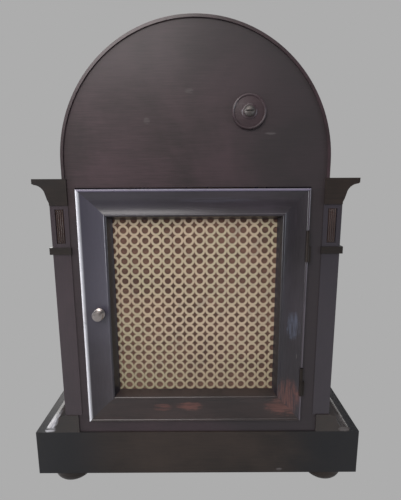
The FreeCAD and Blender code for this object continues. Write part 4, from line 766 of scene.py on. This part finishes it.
class CLOCK_OT_metal_finish(bpy.types.Operator):
    """Brass, steel, iron and glass of the fittings and the movement"""
    bl_idname = "clock.metal_finish"
    bl_label = "Metal finish"

    def execute(self, context):
        yellow, dull = (0.78, 0.57, 0.25), (0.46, 0.31, 0.13)
        paint(metal("movement_brass", yellow, dull, 0.20, (1.0, 1.0, 12.0)),
              "front_plate", "back_plate", "plate_pillars", "suspension_cock", "dial_pillars")
        paint(metal("wheel_brass", yellow, dull, 0.16, spots=0.3),
              "going_barrel", "strike_barrel", "centre_wheel", "third_wheel", "escape_wheel", "minute_wheel",
              "hour_wheel", "pin_wheel")
        paint(metal("bob_brass", yellow, dull, 0.14, spots=0.3), "pendulum_bob", "rating_nut", "pendulum_rod")
        paint(metal("knob_brass", (0.36, 0.33, 0.32), (0.15, 0.12, 0.10), 0.22, spots=0.5), "back_knob", "front_knob")
        paint(metal("latch_brass", yellow, dull, 0.25), "back_latch_tongue", "front_sight_ring")
        paint(metal("hinge_nickel", (0.045, 0.038, 0.034), (0.022, 0.018, 0.016), 0.48),
              "back_hinge_case_leaves", "back_hinge_door_leaves")
        paint(metal("front_hinge_brass", dull, (0.25, 0.17, 0.08), 0.28),
              "front_hinge_case_leaves", "front_hinge_door_leaves")
        paint(metal("dial_brass", yellow, dull, 0.30, (1.0, 1.0, 1.0), spots=0.2), "dial_plate", "dial_spandrels")
        paint(metal("silvered_ring", (0.80, 0.79, 0.75), (0.62, 0.58, 0.50), 0.38, spots=0.25),
              "chapter_ring", "arch_ring")
        paint(metal("blued_steel", (0.035, 0.06, 0.20), (0.03, 0.03, 0.06), 0.18, spots=0.2),
              "hour_hand", "minute_hand")
        paint(metal("bright_steel", (0.55, 0.55, 0.56), (0.30, 0.27, 0.25), 0.22),
              "pallets", "hammer", "fly")
        paint(metal("dull_screw", (0.12, 0.11, 0.105), (0.07, 0.055, 0.05), 0.48), "gong_screw")
        paint(painted_iron("gong_iron", (0.022, 0.021, 0.020)), "gong_post")
        paint(clear_glass("door_glass"), "front_glass")
        return {"FINISHED"}


# ---------------------------------------------------------------- back door: fret and cloth
class CLOCK_OT_ring_fret(bpy.types.Operator):
    """Brass fret of touching rings with star-shaped gaps, cut off at the door's rebate"""
    bl_idname = "clock.ring_fret"
    bl_label = "Ring fret"

    def execute(self, context):
        s = context.scene.clock_fret
        low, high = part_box("back_fret")
        columns, rows = 17, 20
        left = s.middle_x - (columns - 1) / 2.0 * s.pitch_x
        top = s.top_z + s.pitch_z
        deselect()
        bpy.ops.mesh.primitive_circle_add(vertices=20, radius=s.hole, fill_type="NOTHING",
                                          location=(left, high.y, top), rotation=(math.pi / 2.0, 0.0, 0.0))
        ring = named("back_fret_rings")
        settle(ring)
        bpy.ops.object.mode_set(mode="EDIT")
        bpy.ops.mesh.select_all(action="SELECT")
        centre = Vector((left, high.y, top))
        bpy.ops.mesh.extrude_region_move(TRANSFORM_OT_translate={"value": (0, 0, 0)})
        grow = s.rim / s.hole
        bpy.ops.transform.resize(value=(grow, 1.0, grow), center_override=centre)
        bpy.ops.object.mode_set(mode="OBJECT")
        for x, z in ((1, 0), (-1, 0), (0, 1), (0, -1)):
            cut_off(ring, centre + Vector((x * s.pitch_x / 2.0, 0, z * s.pitch_z / 2.0)), (x, 0, z))
        for count, step in ((columns, (s.pitch_x, 0, 0)), (rows, (0, 0, -s.pitch_z))):
            modify(ring, "ARRAY", count=count, use_relative_offset=False, use_constant_offset=True,
                   constant_offset_displace=step, use_merge_vertices=True, merge_threshold=0.00002)
        for corner, normal in ((low, (-1, 0, 0)), (low, (0, 0, -1)), (high, (1, 0, 0)), (high, (0, 0, 1))):
            cut_off(ring, corner, normal)
        take(ring)
        bpy.ops.object.mode_set(mode="EDIT")
        bpy.ops.mesh.select_all(action="SELECT")
        bpy.ops.mesh.normals_make_consistent(inside=False)
        bpy.ops.object.mode_set(mode="OBJECT")
        if ring.data.polygons[0].normal.y < 0:
            ring.data.flip_normals()
        modify(ring, "SOLIDIFY", thickness=high.y - low.y, offset=-1.0)
        dress(ring, fret_brass("fret_lacquer", tuple(s.brass)), "back_door", "fret_brass", "back_fret")
        return {"FINISHED"}


class CLOCK_OT_fret_cloth(bpy.types.Operator):
    """Cloth stretched behind the fret"""
    bl_idname = "clock.fret_cloth"
    bl_label = "Fret cloth"

    def execute(self, context):
        low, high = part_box("back_fret_cloth")
        width, length = high.x - low.x, high.z - low.z
        deselect()
        bpy.ops.mesh.primitive_plane_add(size=1.0, location=((low + high) / 2.0), rotation=(-math.pi / 2.0, 0, 0))
        cloth = named("silk_backing")
        cloth.scale = (width, length, 1.0)
        settle(cloth)
        take(cloth)
        bpy.ops.object.mode_set(mode="EDIT")
        bpy.ops.mesh.select_all(action="SELECT")
        bpy.ops.mesh.subdivide(number_cuts=60)
        bpy.ops.object.mode_set(mode="OBJECT")
        for vertex in cloth.data.vertices:
            x, z = vertex.co.x, vertex.co.z
            vertex.co.y += 0.00010 * math.sin(x * 210.0 + 1.3) * math.sin(z * 160.0)
        modify(cloth, "SOLIDIFY", thickness=0.0003, offset=0.0)
        take(cloth)
        bpy.ops.object.shade_smooth()
        dress(cloth, sound_cloth("faded_silk", (0.075, 0.037, 0.026), (0.175, 0.090, 0.064)), "back_door",
              "sound_cloth", "back_fret_cloth")
        return {"FINISHED"}


# ---------------------------------------------------------------- gong fastening on the back board
class CLOCK_OT_gong_disc(bpy.types.Operator):
    """Turned washer disc on the back board"""
    bl_idname = "clock.gong_disc"
    bl_label = "Gong disc"

    def execute(self, context):
        low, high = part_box("gong_disc")
        middle = (low + high) / 2.0
        r = (high.x - low.x) / 2.0
        y0, y1 = low.y, high.y
        profile = ((r - 0.0002, y0), (r, y0 + 0.0003), (r, y0 + 0.0020), (r - 0.0004, y0 + 0.0028),
                   (r - 0.0013, y0 + 0.0032), (r - 0.0021, y0 + 0.0028), (r - 0.0025, y0 + 0.0022),
                   (r - 0.0050, y0 + 0.0024), (0.0076, y0 + 0.0027), (0.0068, y0 + 0.0036), (0.0060, y1),
                   (0.0054, y1))
        disc = turned("washer_disc", middle, "y", profile, 64)
        c = context.scene.clock_case
        wood = varnished_wood("disc_polish", tuple(c.board_dark), tuple(k * 0.8 for k in c.board_light), ALONG_X,
                              gloss=0.44, coat=0.3, scratch=0.3)
        dress(disc, wood, "case", "ebonised_wood", "gong_disc")
        return {"FINISHED"}


class CLOCK_OT_gong_rod(bpy.types.Operator):
    """Blued steel rod of the gong, coiled in half turns from its post"""
    bl_idname = "clock.gong_rod"
    bl_label = "Gong rod"

    def execute(self, context):
        s = context.scene.clock_gong
        low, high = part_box("gong_coil")
        plane = (low.y + high.y) / 2.0
        thick = (high.y - low.y) / 2.0
        low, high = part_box("gong_disc")
        middle = (low + high) / 2.0
        points = []
        centre, radius, side = middle.x, s.inner, 1.0
        for _ in range(2 * s.turns):
            for step in range(s.steps):
                a = math.pi * step / s.steps
                points.append((centre + side * radius * math.cos(a), middle.z + side * radius * math.sin(a)))
            side = -side
            centre += side * s.spacing / 2.0
            radius += s.spacing / 2.0
        points.append((centre + side * radius, middle.z))
        deselect()
        bpy.ops.curve.primitive_nurbs_path_add()
        rod = bpy.context.object
        rod.data.splines.clear()
        spline = rod.data.splines.new("POLY")
        spline.points.add(len(points) - 1)
        for point, (x, z) in zip(spline.points, points):
            point.co = (x, plane, z, 1.0)
        rod.location = (0.0, 0.0, 0.0)
        rod.data.dimensions = "3D"
        rod.data.bevel_depth = thick
        rod.data.bevel_resolution = 3
        rod.data.use_fill_caps = True
        bpy.ops.object.convert(target="MESH")
        piece = named("gong_rod")
        settle(piece, 50)
        blue = metal("gong_blue", (0.040, 0.055, 0.12), (0.05, 0.035, 0.035), 0.24, spots=0.4)
        dress(piece, blue, "case", "blued_steel", "gong_coil")
        return {"FINISHED"}


class CLOCK_OT_flute_reeds(bpy.types.Operator):
    """Fine reeds that fill the flutes of the pilasters"""
    bl_idname = "clock.flute_reeds"
    bl_label = "Flute reeds"

    def execute(self, context):
        s = context.scene.clock_case
        low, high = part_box("back_pilasters")
        front_low, front_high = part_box("front_pilasters")
        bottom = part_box("pilaster_collars")[1].z + 0.0042
        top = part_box("capitals")[0].z - 0.0042
        inner = high.x - 0.0185
        middle = (inner + high.x) / 2.0
        depth = 0.0016
        radius = s.reed / 2.0
        for name, sign, face, side_y in (("back_reeds", 1.0, high.y, (low.y + high.y) / 2.0),
                                         ("front_reeds", -1.0, front_low.y, (front_low.y + front_high.y) / 2.0)):
            rods = []
            floor = face - sign * (depth - 0.0003)
            for place in range(4):
                shift = (place - 1.5) * s.reed
                for side in (-1.0, 1.0):
                    rods.append((side * (middle + shift), floor))
                    rods.append((side * (high.x - depth + 0.0003), side_y + shift))
            x, y = rods[0]
            reed = turned(name, (x, y, bottom), "z", ((radius, bottom), (radius, top)), 10, 60)
            repeat(reed, [(a - x, b - y, 0.0) for a, b in rods[1:]])
            wood = varnished_wood(name + "_polish", (0.020, 0.010, 0.008), (0.050, 0.026, 0.020), ALONG_Z,
                                  gloss=0.45, coat=0.1)
            dress(reed, wood, "case", "ebonised_wood")
        return {"FINISHED"}


class CLOCK_OT_dial_figures(bpy.types.Operator):
    """Engraved and waxed hours, minute track and the divisions of the arch ring"""
    bl_idname = "clock.dial_figures"
    bl_label = "Dial figures"

    def execute(self, context):
        s = context.scene.clock_dial
        low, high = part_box("chapter_ring")
        centre = (low + high) / 2.0
        outer = (high.x - low.x) / 2.0
        face = low.y - s.proud / 2.0
        parts = []
        for hour, words in enumerate(("XII", "I", "II", "III", "IIII", "V", "VI", "VII", "VIII", "IX", "X", "XI")):
            parts.append(ring_figure("hour_figure", words, s.figure, s.proud, hour * math.pi / 6.0,
                                     outer - s.figure_inset, (0.0, face, centre.z)))
        for count, inset, length, width in ((60, 0.0010, 0.0026, 0.0004), (12, 0.0010, 0.0026, 0.0011)):
            top = centre.z + outer - inset
            tick = block("minute_tick", (-width / 2.0, face - s.proud / 2.0, top - length),
                         (width / 2.0, face + s.proud / 2.0, top))
            parts.append(spun(tick, (0.0, face, centre.z), count))
        for radius in (outer - 0.0009, outer - 0.0037, outer - 0.0262):
            deselect()
            bpy.ops.mesh.primitive_torus_add(major_radius=radius, minor_radius=s.proud * 0.9, major_segments=96,
                                             minor_segments=4, location=(0.0, face, centre.z),
                                             rotation=(math.pi / 2.0, 0.0, 0.0))
            parts.append(settle(named("track_line")))
        ink = enamel_ink("black_wax", (0.012, 0.011, 0.010))
        dress(joined(*parts), ink, "case", "silvered_brass").name = "chapter_figures"
        low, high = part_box("arch_ring")
        middle = (low + high) / 2.0
        outer = (high.x - low.x) / 2.0
        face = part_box("chapter_ring")[0].y - s.proud / 2.0
        tick = block("arch_ticks", (-0.0003, face - s.proud / 2.0, middle.z + outer - 0.0050),
                     (0.0003, face + s.proud / 2.0, middle.z + outer - 0.0015))
        ticks = [spun(tick, (0.0, face, middle.z), 24)]
        for turn, words in ((-1.0, "1"), (-0.5, "2"), (0.0, "3"), (0.5, "4"), (1.0, "5")):
            ticks.append(ring_figure("arch_figure", words, 0.0075, s.proud, turn, outer - 0.0105,
                                     (0.0, face, middle.z)))
        dress(joined(*ticks), ink, "case", "silvered_brass").name = "arch_figures"
        pointer = block("arch_pointer", (-0.0009, face - 0.0016, middle.z - 0.006),
                        (0.0009, face - 0.0010, middle.z + outer - 0.0065), 0.0002)
        boss = turned("arch_boss", (0.0, face, middle.z), "y",
                      ((0.0045, face - 0.0008), (0.0045, face - 0.0018), (0.0034, face - 0.0026),
                       (0.0004, face - 0.0030)), 28)
        blue = metal("pointer_blue", (0.035, 0.06, 0.20), (0.03, 0.03, 0.06), 0.18, spots=0.2)
        dress(joined(pointer, boss), blue, "case", "blued_steel").name = "arch_pointer"
        return {"FINISHED"}


class CLOCK_OT_spandrel_relief(bpy.types.Operator):
    """Raised leaf scrolls on the dial's corner pieces"""
    bl_idname = "clock.spandrel_relief"
    bl_label = "Spandrel relief"

    def execute(self, context):
        low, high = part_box("dial_spandrels")
        centre = (low + high) / 2.0
        face = low.y
        parts = []
        for sx in (-1.0, 1.0):
            for sz in (-1.0, 1.0):
                corner = Vector((high.x * sx, face, centre.z + sz * (high.z - centre.z)))
                for turn, length, reach in ((45.0, 0.0090, 0.0085), (18.0, 0.0105, 0.0125), (72.0, 0.0105, 0.0125),
                                            (8.0, 0.0070, 0.0205), (82.0, 0.0070, 0.0205)):
                    a = math.radians(turn)
                    inward = Vector((-sx * math.cos(a), 0.0, -sz * math.sin(a)))
                    middle = corner + inward * reach + Vector((-sx * 0.0006, 0.0, -sz * 0.0006))
                    deselect()
                    bpy.ops.mesh.primitive_uv_sphere_add(segments=14, ring_count=8, radius=1.0)
                    leaf = named("leaf")
                    leaf.scale = (length / 2.0, 0.0011, length * 0.17)
                    leaf.rotation_euler = (0.0, math.atan2(-inward.z, inward.x), 0.0)
                    leaf.location = middle
                    parts.append(settle(leaf, 50))
        gilt = metal("cast_gilt", (0.80, 0.56, 0.22), (0.38, 0.24, 0.09), 0.30, spots=0.4)
        dress(joined(*parts), gilt, "case", "brass").name = "spandrel_leaves"
        return {"FINISHED"}


class CLOCK_OT_screw_heads(bpy.types.Operator):
    """Blued screws of the movement's back plate and suspension cock, and brass screws of the front hinges"""
    bl_idname = "clock.screw_heads"
    bl_label = "Screw heads"

    def execute(self, context):
        blue = metal("screw_blue", (0.05, 0.07, 0.20), (0.04, 0.03, 0.05), 0.2, spots=0.2)
        low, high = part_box("plate_pillars")
        inset = 0.0045
        xs = (low.x + inset, high.x - inset)
        zs = (low.z + inset, high.z - inset)
        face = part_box("back_plate")[1].y
        x, z = xs[0], zs[0]
        head = slotted("plate_screws", (x, z), face, 1.0, 0.0034)
        repeat(head, [(a - x, 0.0, b - z) for a in xs for b in zs if (a, b) != (x, z)])
        dress(head, blue, "case", "steel")
        low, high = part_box("suspension_cock")
        face = low.y + 0.003
        head = slotted("cock_screws", (low.x + 0.0035, high.z - 0.0035), face, 1.0, 0.0022)
        repeat(head, [(high.x - low.x - 0.007, 0.0, 0.0)])
        dress(head, blue, "case", "steel")
        low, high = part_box("front_hinge_case_leaves")
        x = high.x - 0.0035
        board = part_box("front_board")[0].y
        spots = []
        for top in (high.z, low.z + 0.01585):
            spots += [top - 0.0035, top - 0.0120]
        head = slotted("hinge_screws", (x, spots[0]), board, -1.0, 0.0017)
        repeat(head, [(0.0, 0.0, spot - spots[0]) for spot in spots[1:]])
        brass = metal("screw_brass", (0.62, 0.44, 0.20), (0.30, 0.20, 0.09), 0.3)
        dress(head, brass, "case", "brass")
        return {"FINISHED"}


# ---------------------------------------------------------------- panel and registration
PIECES = (CLOCK_OT_stage, CLOCK_OT_case_finish, CLOCK_OT_metal_finish, CLOCK_OT_ring_fret, CLOCK_OT_fret_cloth,
          CLOCK_OT_gong_disc, CLOCK_OT_gong_rod, CLOCK_OT_flute_reeds, CLOCK_OT_dial_figures,
          CLOCK_OT_spandrel_relief, CLOCK_OT_screw_heads)
GROUPS = {"clock_case": CaseSettings, "clock_fret": FretSettings, "clock_gong": GongSettings,
          "clock_dial": DialSettings, "clock_stage": StageSettings}


class CLOCK_PT_pieces(bpy.types.Panel):
    """Lists the clock's pieces"""
    bl_idname = "CLOCK_PT_pieces"
    bl_label = "Bracket clock"
    bl_space_type = "VIEW_3D"
    bl_region_type = "UI"
    bl_category = "Clock"

    def draw(self, context):
        for piece in PIECES:
            self.layout.operator(piece.bl_idname)


def register():
    for group in GROUPS.values():
        bpy.utils.register_class(group)
    for name, group in GROUPS.items():
        setattr(bpy.types.Scene, name, bpy.props.PointerProperty(type=group))
    for piece in PIECES:
        bpy.utils.register_class(piece)
    bpy.utils.register_class(CLOCK_PT_pieces)


def unregister():
    bpy.utils.unregister_class(CLOCK_PT_pieces)
    for piece in reversed(PIECES):
        bpy.utils.unregister_class(piece)
    for name in GROUPS:
        delattr(bpy.types.Scene, name)
    for group in GROUPS.values():
        bpy.utils.unregister_class(group)


def main():
    register()
    for piece in PIECES:
        group, name = piece.bl_idname.split(".")
        getattr(getattr(bpy.ops, group), name)()


if __name__ == "__main__":
    main()
